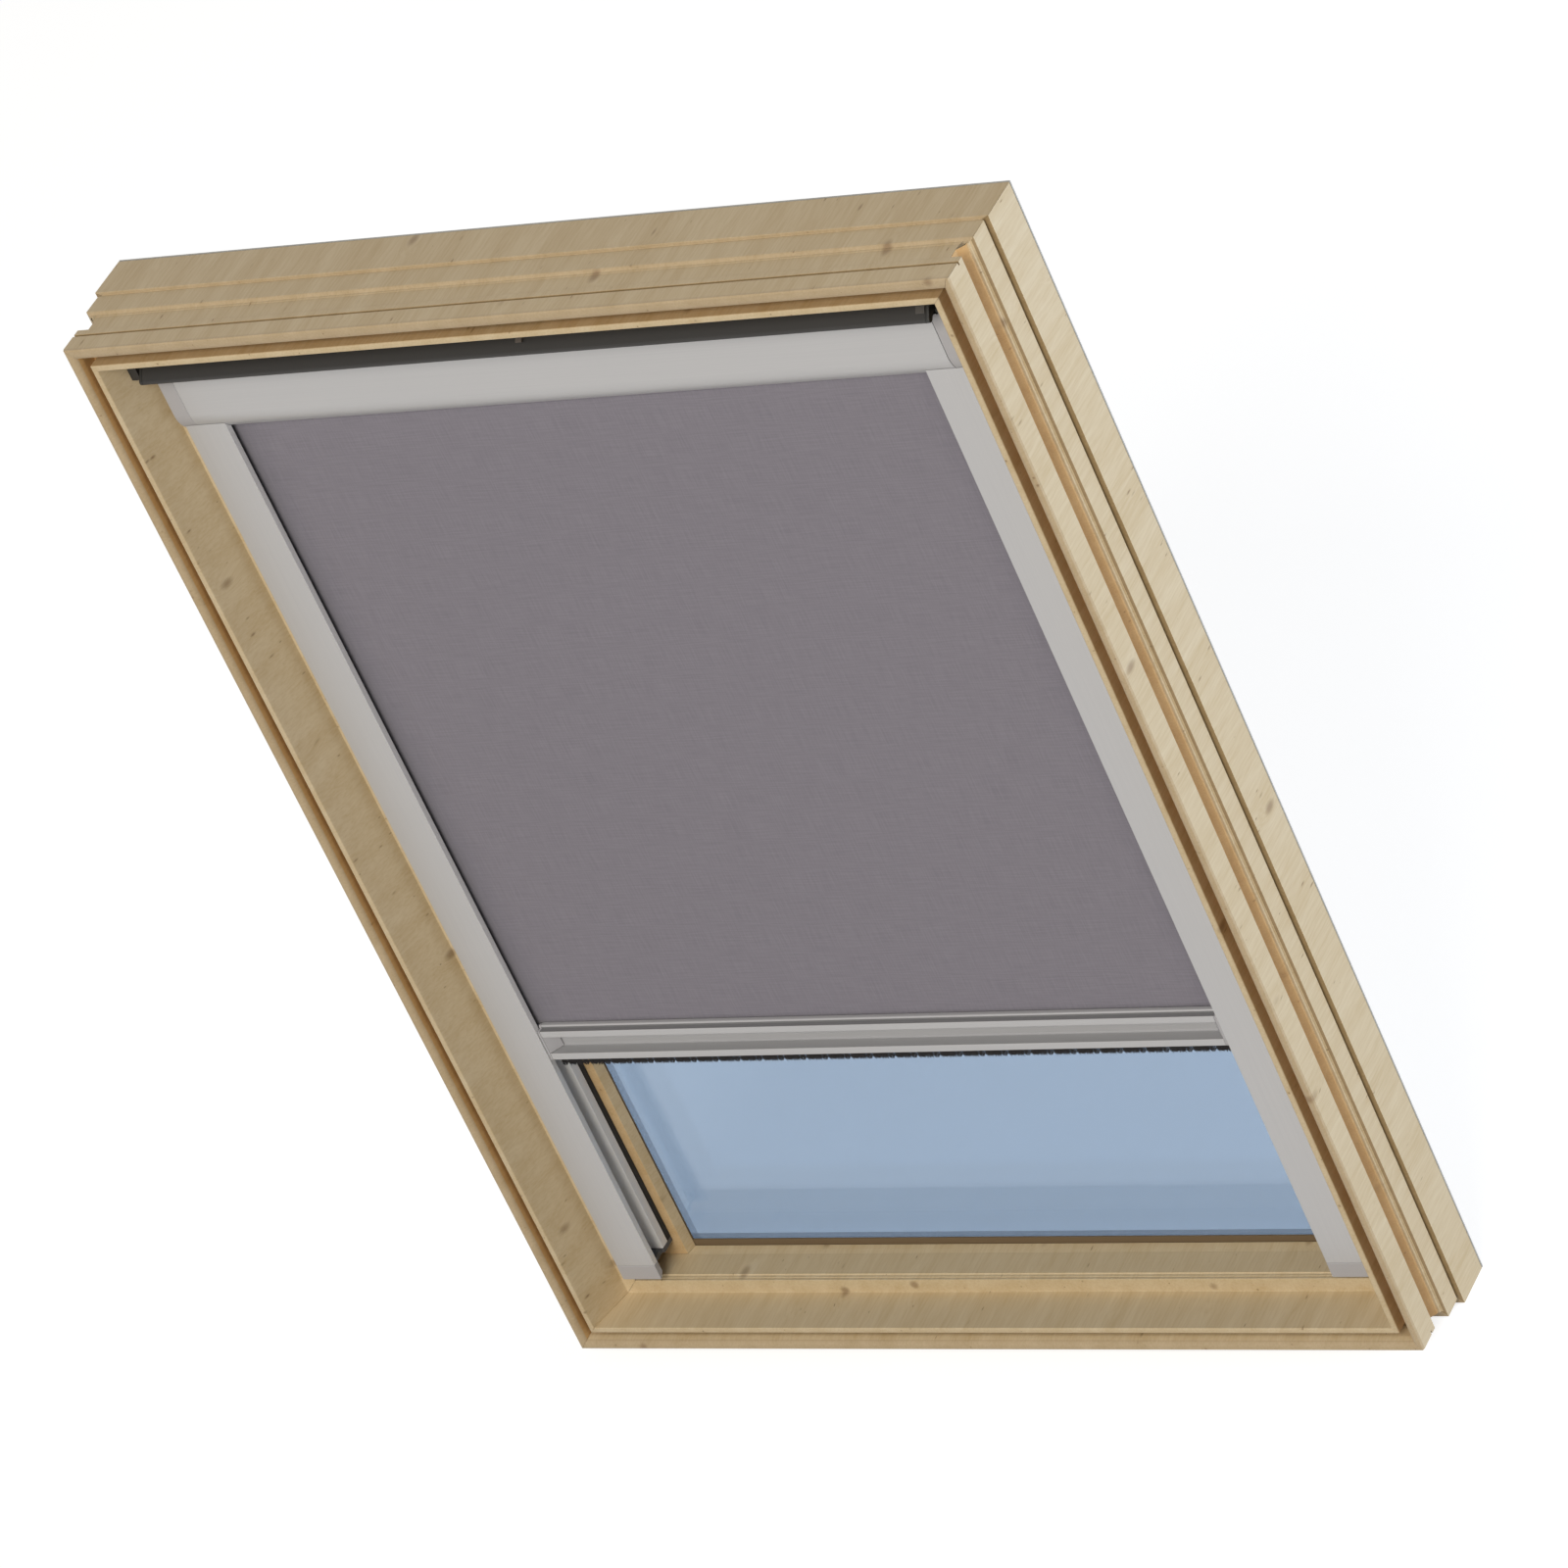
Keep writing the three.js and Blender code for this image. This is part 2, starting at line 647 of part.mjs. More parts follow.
function buildHeadBox() {
  const coverHalf = boxCapInside - fitGap;
  const centre = boxFront + boxCurve;
  const slotEdge = fabricDepth - fabricThickness / 2 - boxSlotGap;
  const slotAngle = 180 + THREE.MathUtils.radToDeg(Math.acos((centre - slotEdge) / (boxCurve - boxWall)));
  const backFace = boxBack - boxWall - fitGap;
  const roundCentre = boxFront + boxTopRound;
  const outer = [...arc(centre, boxStraightFrom, boxCurve, slotAngle, 180, arcSteps * 2),
    ...arc(roundCentre, boxTop - boxTopRound, boxTopRound, 180, 90), [backFace, boxTop]];
  const inner = [[backFace, boxTop - boxWall],
    ...arc(roundCentre, boxTop - boxTopRound, boxTopRound - boxWall, 90, 180),
    ...arc(centre, boxStraightFrom, boxCurve - boxWall, 180, slotAngle, arcSteps * 2)];
  add('headbox_cover', along([...outer, ...inner], -coverHalf, coverHalf), aluminium());
  add('headbox_back', along(rectangle(boxBack - boxWall, boxBack, boxTop - boxBackHeight,
    boxTop - boxWall),
    -coverHalf, coverHalf), aluminium());
  for (const [side, name] of [[-1, 'headbox_cap_left'], [1, 'headbox_cap_right']]) {
    const span = [side * boxCapInside, side * boxHalfWidth].sort((a, b) => a - b);
    const boreEnd = boxCapInside + plugPinReach;
    const bore = rod(rollerDepth, rollerHeight, plugPinRadius + runningGap,
      ...[side * (boxCapInside - overrun), side * boreEnd].sort((a, b) => a - b));
    const step = upright(onSide(side, rectangle(ledge[0] - fitGap, boxHalfWidth + overrun,
      ledgeDepth - fitGap, boxBack + overrun)), boxCurveBottom - overrun, boxTop + overrun);
    add(name, cut(along(boxOutline(), ...span), bore, step), greyPlastic());
  }
  for (const [side, name] of [[-1, 'headbox_bracket_left'], [1, 'headbox_bracket_right']]) {
    const low = boxTop + fitGap;
    const high = low + boxBracketThickness;
    const front = ledgeDepth + fitGap;
    const fold = ledgeDepth - fitGap;
    const middle = side * (boxHalfWidth - boxBracketInset);
    const left = middle - boxBracketWidth / 2;
    const right = left + boxBracketWidth;
    const angle = [[front + boxBracketDepth, low], [front + boxBracketDepth, high],
      [fold, high], [fold, high + boxBracketFold], [fold - boxBracketThickness, high + boxBracketFold],
      [fold - boxBracketThickness, low]];
    const screw = through(circle(middle, high + boxBracketFold / 2, boxScrewRadius),
      fold - boxBracketThickness - boxScrewHead, fold - boxBracketThickness / 2);
    add(name, fuse(along(angle, left, right), screw), steel());
  }
}

function buildRoller() {
  const notch = Math.asin(tubeKeyWidth / 2 / tubeRadius);
  const open = THREE.MathUtils.radToDeg(notch);
  const tubeOuter = [...arc(rollerDepth, rollerHeight, tubeRadius, open, 360 - open, roundSteps),
    [rollerDepth + tubeRadius - tubeKeyDepth, rollerHeight - tubeKeyWidth / 2],
    [rollerDepth + tubeRadius - tubeKeyDepth, rollerHeight + tubeKeyWidth / 2]];
  add('roller_tube', along(tubeOuter, -tubeHalfLength, tubeHalfLength,
    [circle(rollerDepth, rollerHeight, tubeRadius - tubeWall)]), aluminium());
  const wrap = [...arc(rollerDepth, rollerHeight, rollRadius, -90, 250, roundSteps),
    [rollerDepth, rollerHeight - rollRadius + wrapRise]];
  add('fabric_roll', along(wrap, -fabricHalfWidth, fabricHalfWidth,
    [circle(rollerDepth, rollerHeight, tubeRadius + fitGap)]), blackoutCloth());
  for (const [side, name] of [[-1, 'roller_plug_left'], [1, 'roller_plug_right']]) {
    const span = (from, to) => [side * from, side * to].sort((a, b) => a - b);
    const flange = tubeHalfLength + fitGap;
    const bore = tubeRadius - tubeWall;
    const pinEnd = boxCapInside + plugPinReach - fitGap;
    add(name, fuse(
      rod(rollerDepth, rollerHeight, bore - fitGap, ...span(flange - plugLength, flange + overrun)),
      rod(rollerDepth, rollerHeight, tubeRadius, ...span(flange, flange + plugFlangeThickness)),
      rod(rollerDepth, rollerHeight, plugPinRadius, ...span(flange, pinEnd)),
    ), darkPlastic());
  }
}

function buildRails() {
  const lipBack = railFront + railLipDepth;
  const top = boxStraightFrom;
  const web = railWebFace + railWall;
  const flange = railFront + railWall;
  const section = [
    [railInner, railFront], [railOuter, railFront], [railOuter, flange], [web, flange], [web, railBack],
    [railWebFace, railBack], [railWebFace, railBackFlange + railWall],
    [railInner + railWall, railBackFlange + railWall], [railInner + railWall, railBack],
    [railInner, railBack], [railInner, railBackFlange], [railWebFace, railBackFlange],
    [railWebFace, flange], [railInner + railLipWidth, flange], [railInner + railLipWidth, lipBack],
    [railInner, lipBack],
  ];
  const sealFront = railBack + fitGap;
  const sealBack = rebateDepth - fitGap;
  const capTop = railFoot - fitGap;
  const capLow = capTop - railCapHeight;
  const shelf = ledgeRaised[2] + fitGap;
  const clipRange = boxCurveBottom - railFoot;
  for (const [side, word] of [[-1, 'left'], [1, 'right']]) {
    const span = (from, to) => [side * from, side * to].sort((a, b) => a - b);
    const under = along(boxOutline(fitGap), ...span(railInner - overrun, railOuter + overrun));
    add(`rail_${word}`, cut(upright(onSide(side, section), railFoot, top), under), aluminium());
    add(`rail_seal_${word}`, upright(onSide(side, rectangle(railInner, railInner + railSealWidth,
      sealFront, sealBack)), railFoot, boxCurveBottom - fitGap), blackRubber());
    const cap = [[railFront, capLow], [railFront, capTop], [lipBack, capTop],
      [lipBack, capLow + railCapEase], [lipBack - railCapEase, capLow]];
    add(`rail_cap_${word}`, along(cap, ...span(railInner, railOuter)), greyPlastic());
    const foot = [[railInner + footInset, lipBack + fitGap], [web, lipBack + fitGap], [web, sealBack],
      [railInner, sealBack], [railInner, railBackFlange], [railInner + footInset, railBackFlange]];
    add(`rail_foot_${word}`, upright(onSide(side, foot), shelf, capTop), darkPlastic());
    clipShares.forEach((share, i) => {
      const height = railFoot + clipRange * share;
      add(`rail_clip_${word}${i ? `_${i + 1}` : ''}`, along(rectangle(flange + fitGap, ledgeDepth - fitGap,
        height, height + clipHeight), ...span(ledge[0], ledge[0] + clipWidth)), darkPlastic());
    });
  }
}

// Section of the bottom bar with its finger channel, clamp ribs and brush slot
const brushDepth = fabricDepth;
function barOutline(withGrip) {
  const back = barFront + barDepth;
  const gripFloor = barFoot + barLipHeight;
  const gripRoof = gripFloor + gripHeight;
  const gripBack = barFront + gripDepth;
  const slotHalf = brushSlotWidth / 2;
  const clampHalf = fabricThickness / 2 + fitGap;
  const ribTop = barTop + beadHeight;
  const ribFront = fabricDepth - clampHalf - clampRibWidth;
  const tail = fabricDepth + clampHalf;
  const grip = withGrip ? [
    [barFront + barEase, gripRoof], [gripBack - gripRound, gripRoof], [gripBack, gripRoof - gripRound],
    [gripBack, gripFloor + gripRound], [gripBack - gripRound, gripFloor], [barFront + barEase, gripFloor],
    [barFront, gripFloor - barEase],
  ] : [];
  return [
    [barFront, barFoot + barEase], [barFront + barEase, barFoot],
    [brushDepth - slotHalf, barFoot], [brushDepth - slotHalf, barFoot + brushSlotHeight],
    [brushDepth + slotHalf, barFoot + brushSlotHeight], [brushDepth + slotHalf, barFoot],
    [back, barFoot], [back, barTop],
    [tail + clampTailWidth, barTop], [tail + clampTailWidth / 2, ribTop], [tail, ribTop],
    [tail, barTop + fitGap], [fabricDepth - clampHalf, barTop + fitGap], [fabricDepth - clampHalf, ribTop],
    ...arc(ribFront + beadHeight / 2, ribTop - beadHeight / 2, beadHeight / 2, 90, 180),
    [ribFront, barTop], [barFront + barEase, barTop], [barFront, barTop - barEase],
    ...(withGrip ? [[barFront, gripRoof + barEase]] : []),
    ...grip,
  ];
}

function buildBottomBar() {
  const bodyHalf = barHalfLength - endPlate - fitGap;
  const chamberFront = barFront + gripDepth + barWall;
  const chamberBack = barFront + barDepth - barWall;
  const chamberFoot = barFoot + brushSlotHeight + barWall;
  const chamber = rectangle(chamberFront, chamberBack, chamberFoot, barTop - barWall);
  add('bottom_bar', along(barOutline(true), -bodyHalf, bodyHalf, [chamber]), aluminium());
  const wedgeLow = barFoot + barLipHeight + fitGap;
  const wedgeHigh = barFoot + barLipHeight + gripHeight - fitGap;
  const gripBack = barFront + gripDepth - gripRound;
  const plateIn = barHalfLength - endPlate;
  const gliderLow = barTop - barEase - gliderHeight;
  const gliderFront = barFront + gliderSetBack;
  for (const [side, name] of [[-1, 'bar_end_left'], [1, 'bar_end_right']]) {
    const span = (from, to) => [side * from, side * to].sort((a, b) => a - b);
    const plate = along(barOutline(false), ...span(plateIn, barHalfLength));
    const root = plateIn + endPlate / 2;
    const wedge = upright(onSide(side, [[root, barFront + barEase], [root, gripBack],
      [plateIn - endWedge, gripBack], [plateIn - fitGap, barFront + barEase]]), wedgeLow, wedgeHigh);
    const reach = barHalfLength + gliderReach;
    const gliderHigh = gliderLow + gliderHeight;
    const glider = through(onSide(side, [[root, gliderLow], [reach - gliderEase, gliderLow],
      [reach, gliderLow + gliderEase], [reach, gliderHigh - gliderEase],
      [reach - gliderEase, gliderHigh], [root, gliderHigh]]), gliderFront, gliderFront + gliderDepth);
    add(name, fuse(plate, wedge, glider), greyPlastic());
  }
  buildBrush(bodyHalf);
}

// Pile brush under the bottom bar: tapered three-sided strands fused to their backing
function buildBrush(bodyHalf) {
  const low = barFoot;
  const high = barFoot + brushSlotHeight - fitGap;
  const half = brushSlotWidth / 2 - fitGap;
  const backing = along(rectangle(brushDepth - half, brushDepth + half, low, high), -bodyHalf, bodyHalf);
  const pitch = (bodyHalf - strandStagger) * 2 / strandCount;
  const corners = [];
  const index = [];
  for (let i = 0; i < strandCount; i += 1) {
    const x = -bodyHalf + strandStagger + pitch * (i + 0.5);
    const y = fromFace(brushDepth) + (i % 2 ? strandStagger : -strandStagger) / 2;
    const tip = low - brushReach + strandUneven * (0.5 + 0.5 * Math.sin(i * 2.399));
    const start = corners.length;
    for (const [height, radius] of [[low + strandBite, strandRadius], [tip, strandTip]]) {
      for (let k = 0; k < 3; k += 1) {
        const angle = (k * 2 * Math.PI) / 3 + i;
        corners.push(new THREE.Vector3(x + radius * Math.cos(angle), y + radius * Math.sin(angle), height));
      }
    }
    index.push(start, start + 1, start + 2, start + 3, start + 5, start + 4);
    for (let k = 0; k < 3; k += 1) {
      const next = (k + 1) % 3;
      index.push(start + k, start + 3 + k, start + 3 + next, start + k, start + 3 + next, start + next);
    }
  }
  const strands = new THREE.BufferGeometry().setFromPoints(corners);
  strands.setIndex(index);
  add('brush', fuse(backing, strands), brushHair());
}

function buildFabric() {
  add('blind_fabric', along(rectangle(fabricDepth - fabricThickness / 2, fabricDepth + fabricThickness / 2,
    barTop + fitGap * 2, rollerHeight), -fabricHalfWidth, fabricHalfWidth), blackoutCloth());
}

// Control bar: rounded nose, long slope up to a flat top, and a finger groove below
const leverSlope = Math.atan2(leverSlopeRise, leverSlopeRun);
const slopeFoot = [
  leverFront + leverNoseRound * (1 - Math.sin(leverSlope)),
  leverFoot + leverNoseRound * (1 + Math.cos(leverSlope)),
];
const leverTop = slopeFoot[1] + leverSlopeRise;
function leverOutline() {
  const back = leverFront + leverDepth;
  const grip = leverFront + leverGripInset;
  const gripEnd = back - leverGripInset;
  const upper = 90 + THREE.MathUtils.radToDeg(leverSlope);
  return [
    ...arc(leverFront + leverNoseRound, leverFoot + leverNoseRound, leverNoseRound, upper, 270),
    [grip, leverFoot], [grip + leverGripDepth, leverFoot + leverGripDepth],
    [gripEnd - leverGripDepth, leverFoot + leverGripDepth], [gripEnd, leverFoot],
    [back, leverFoot + leverBackRise], [back, leverTop - leverBackRound],
    [back - leverBackRound, leverTop], [slopeFoot[0] + leverSlopeRun, leverTop],
  ];
}

// A small plate lying on the slope of the control bar, a share of the way up it
function onSlope(share, run, thickness) {
  const uphill = [Math.cos(leverSlope), Math.sin(leverSlope)];
  const out = [-uphill[1], uphill[0]];
  const spot = (step, lift) => slopeFoot.map((value, i) => value
    + uphill[i] * (share * leverSlopeRun / uphill[0] + step) + out[i] * lift);
  return [spot(0, fitGap), spot(run, fitGap), spot(run, fitGap + thickness), spot(0, fitGap + thickness)];
}

function buildLever() {
  const bodyHalf = leverHalfLength - leverCapWidth - fitGap;
  add('control_bar', along(leverOutline(), -bodyHalf, bodyHalf), darkPlastic());
  const inside = leverHalfLength - leverCapWidth;
  const leverPivot = [leverFront + leverPivotRun, leverFoot + leverPivotRise];
  const flapPivot = [flapPivotDepth, flapPivotHeight];
  const blockFront = leverFront + blockSetBack;
  const blockBack = ledgeDepth - blockBackGap;
  for (const [side, word] of [[-1, 'left'], [1, 'right']]) {
    const span = (from, to) => [side * from, side * to].sort((a, b) => a - b);
    const bore = rod(...leverPivot, leverPinRadius + runningGap,
      ...span(leverHalfLength - leverPinReach, leverHalfLength + overrun));
    const cap = along(leverOutline(), ...span(inside, leverHalfLength));
    add(`control_cap_${word}`, cut(cap, bore), darkPlastic());
    // Pivot block on the reveal, cut to its splay, with pins for the bar and for the flap
    const near = leverHalfLength + fitGap * 2;
    const splay = (depth) => splaySide * (depth - sashSetBack) / (ledgeDepth - sashSetBack);
    const wall = (depth) => reveal[0] - splay(depth) - fitGap * 2;
    const outline = [[near, blockFront], [wall(blockFront), blockFront],
      [wall(blockBack), blockBack], [near, blockBack]];
    const block = upright(onSide(side, outline), leverFoot + blockFootRise, reveal[1] - blockHeadGap);
    add(`pivot_block_${word}`, fuse(block,
      rod(...leverPivot, leverPinRadius,
        ...span(leverHalfLength - leverPinReach + fitGap, near + overrun)),
      rod(...flapPivot, flapPinRadius,
        ...span(leverHalfLength - flapEndGap - flapPinReach + fitGap, near + overrun))), darkPlastic());
  }
  add('latch_nose', along(onSlope(latchShare, latchRun, latchHeight),
    latchAt - latchWidth / 2, latchAt + latchWidth / 2), darkPlastic());
  const pad = onSlope(padShare, padRun, padThickness);
  add('bar_pad', along(pad, bodyHalf - padWidth, bodyHalf), greyPlastic());
}

function buildFlap() {
  const knuckle = arc(flapPivotDepth, flapPivotHeight, flapKnuckle, -60, 240, roundSteps);
  const half = flapThickness / 2;
  const reach = leverHalfLength - flapEndGap;
  const foot = ledge[1] + flapFootRise;
  add('vent_flap', along([...knuckle, [flapPivotDepth - half, foot], [flapPivotDepth + half, foot]],
    -reach, reach, [circle(flapPivotDepth, flapPivotHeight, flapPinRadius + runningGap)]),
  darkPlastic());
}

buildFrame();
buildSash();
buildHeadBox();
buildRails();
buildRoller();
buildBottomBar();
buildFabric();
buildLever();
buildFlap();

export default roofWindow;
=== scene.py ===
"""Centre-pivot roof window in pine with a blackout roller blind inside its sash.

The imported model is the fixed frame. Each class dresses one sub-assembly of it. A node whose
shape is right only gets its finish, one that needs softer edges or several finishes is replaced
by a copy, and the cloth and the draught brush are built afresh.
"""
import logging
import math
import random
from dataclasses import dataclass
from enum import Enum
from functools import lru_cache, partial
from typing import Callable

import bmesh
import bpy
from bmesh.types import BMEdge, BMesh, BMFace, BMVert
from bpy.types import Material, Node, NodeSocket, NodeTree, Object
from mathutils import Matrix, Vector


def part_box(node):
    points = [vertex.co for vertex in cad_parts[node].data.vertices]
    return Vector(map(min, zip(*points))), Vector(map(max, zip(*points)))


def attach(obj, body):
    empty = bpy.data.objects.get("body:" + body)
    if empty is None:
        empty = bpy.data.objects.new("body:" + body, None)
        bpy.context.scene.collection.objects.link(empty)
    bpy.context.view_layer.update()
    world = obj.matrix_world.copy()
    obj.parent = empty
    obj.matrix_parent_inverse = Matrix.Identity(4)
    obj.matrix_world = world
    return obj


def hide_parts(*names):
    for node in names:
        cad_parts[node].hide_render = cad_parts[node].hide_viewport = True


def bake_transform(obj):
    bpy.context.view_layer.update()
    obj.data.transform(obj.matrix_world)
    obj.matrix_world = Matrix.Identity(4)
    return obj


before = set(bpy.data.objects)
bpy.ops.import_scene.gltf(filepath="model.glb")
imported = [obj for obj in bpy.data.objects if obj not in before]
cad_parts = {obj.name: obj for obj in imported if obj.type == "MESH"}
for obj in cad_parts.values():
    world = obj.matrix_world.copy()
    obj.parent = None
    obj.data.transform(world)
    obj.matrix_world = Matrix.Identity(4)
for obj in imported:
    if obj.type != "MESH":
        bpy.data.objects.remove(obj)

log = logging.getLogger("roof_window")

MM = 0.001
MIDDLE_DEPTH = 51.5
MIDDLE_HEIGHT = 490.0
MERGE_MM = 0.002
SAME_MM = 0.02
FLAT_DEGREES = 0.6
# the widths that a face has to reach back from an edge that is rounded
EDGE_ROOM = 2.3
# the share of a unit vector along an axis: a face that leans that way, one square to it, and a
# parallel edge
FACING = 0.5
SQUARE = 0.9
PARALLEL = 0.999
SIDES = (("left", -1), ("right", 1))

Colour = tuple[float, float, float, float]
Span = tuple[float, float]
Triple = tuple[float, float, float]
EdgeTest = Callable[[BMEdge], bool]


class Run(Enum):
    """The axis that a member, a rail or a bar runs along."""

    ACROSS = 0
    UP = 2


def linear(code: str) -> Colour:
    """Turns an sRGB hex colour into linear values.

    Args:
        code: the colour as #RRGGBB.

    Returns:
        Linear red, green, blue and a full alpha.
    """
    shares = [int(code[i:i + 2], 16) / 255 for i in (1, 3, 5)]
    return tuple(c / 12.92 if c <= 0.04045 else ((c + 0.055) / 1.055) ** 2.4 for c in shares) + (1.0,)


def toned(code: str, level: float) -> Colour:
    """Returns an sRGB hex colour as linear values times a level, with a full alpha."""
    return tuple(c * level for c in linear(code)[:3]) + (1.0,)


def point(x: float, depth: float, z: float) -> Vector:
    """Returns the place in metres of a point given in millimetres, its depth from the room face."""
    return Vector((x, depth - MIDDLE_DEPTH, z)) * MM


def in_millimetres(place: Vector) -> Vector:
    """Returns a place in millimetres, its depth counted from the room face."""
    return Vector((place.x / MM, place.y / MM + MIDDLE_DEPTH, place.z / MM))


def feed(node: Node, values: dict | None = None, links: dict | None = None) -> None:
    """Sets a node's plain socket values and its incoming links.

    Args:
        node: the node.
        values: socket name or index to plain value.
        links: socket name or index to the output socket that feeds it.
    """
    for socket, value in (values or {}).items():
        node.inputs[socket].default_value = value
    for socket, source in (links or {}).items():
        node.id_data.links.new(source, node.inputs[socket])


def add_node(tree: NodeTree, kind: str, values: dict | None = None, links: dict | None = None,
             **settings) -> Node:
    """Adds one node with its settings, its plain socket values and its incoming links.

    Args:
        tree: the node tree that gets it.
        kind: the node's type name, without the ShaderNode before it.
        values: socket name or index to plain value.
        links: socket name or index to the output socket that feeds it.
        **settings: attributes of the node.

    Returns:
        The new node.
    """
    made = tree.nodes.new(f"ShaderNode{kind}")
    for name, value in settings.items():
        setattr(made, name, value)
    feed(made, values, links)
    return made


def placed(name: str, data: bpy.types.ID) -> Object:
    """Adds an object to the scene.

    Args:
        name: its name.
        data: its mesh, lamp or camera.

    Returns:
        The object, at the origin.
    """
    made = bpy.data.objects.new(name, data)
    bpy.context.scene.collection.objects.link(made)
    return made


@dataclass(frozen=True)
class Finish:
    """A surface finish: what it is made of and how that is drawn."""

    name: str
    slot: str

    def paint(self, shader: Node) -> None:
        """Adds the finish's own nodes and feeds the shader.

        Args:
            shader: the Principled shader.
        """
        raise NotImplementedError

    def vary(self, shader: Node, share: NodeSocket, tones: tuple[Colour, Colour], gloss: Span) -> None:
        """Lets one pattern steer the colour and the roughness.

        Args:
            shader: the Principled shader.
            share: the pattern, from 0 to 1.
            tones: the colours where it is 0 and 1.
            gloss: the roughness where it is 0 and 1.
        """
        tree = shader.id_data
        tone = add_node(tree, "Mix", {6: tones[0], 7: tones[1]}, {0: share}, data_type="RGBA")
        rough = add_node(tree, "MapRange", {"To Min": gloss[0], "To Max": gloss[1]}, {"Value": share})
        feed(shader, None, {"Base Color": tone.outputs[2], "Roughness": rough.outputs["Result"]})

    def emboss(self, shader: Node, height: NodeSocket, relief: Span) -> None:
        """Raises one pattern from the surface.

        Args:
            shader: the Principled shader.
            height: the pattern.
            relief: the strength of the bump and its height in millimetres.
        """
        bump = add_node(shader.id_data, "Bump", {"Strength": relief[0], "Distance": relief[1] * MM},
                        {"Height": height})
        feed(shader, None, {"Normal": bump.outputs[0]})

    @lru_cache
    def material(self) -> Material:
        """Makes the material of this finish on first use.

        Returns:
            The one material.
        """
        made = bpy.data.materials.new(self.name)
        made.use_nodes = True
        made.node_tree.nodes.clear()
        shader = add_node(made.node_tree, "BsdfPrincipled")
        add_node(made.node_tree, "OutputMaterial", links={"Surface": shader.outputs[0]})
        self.paint(shader)
        return made


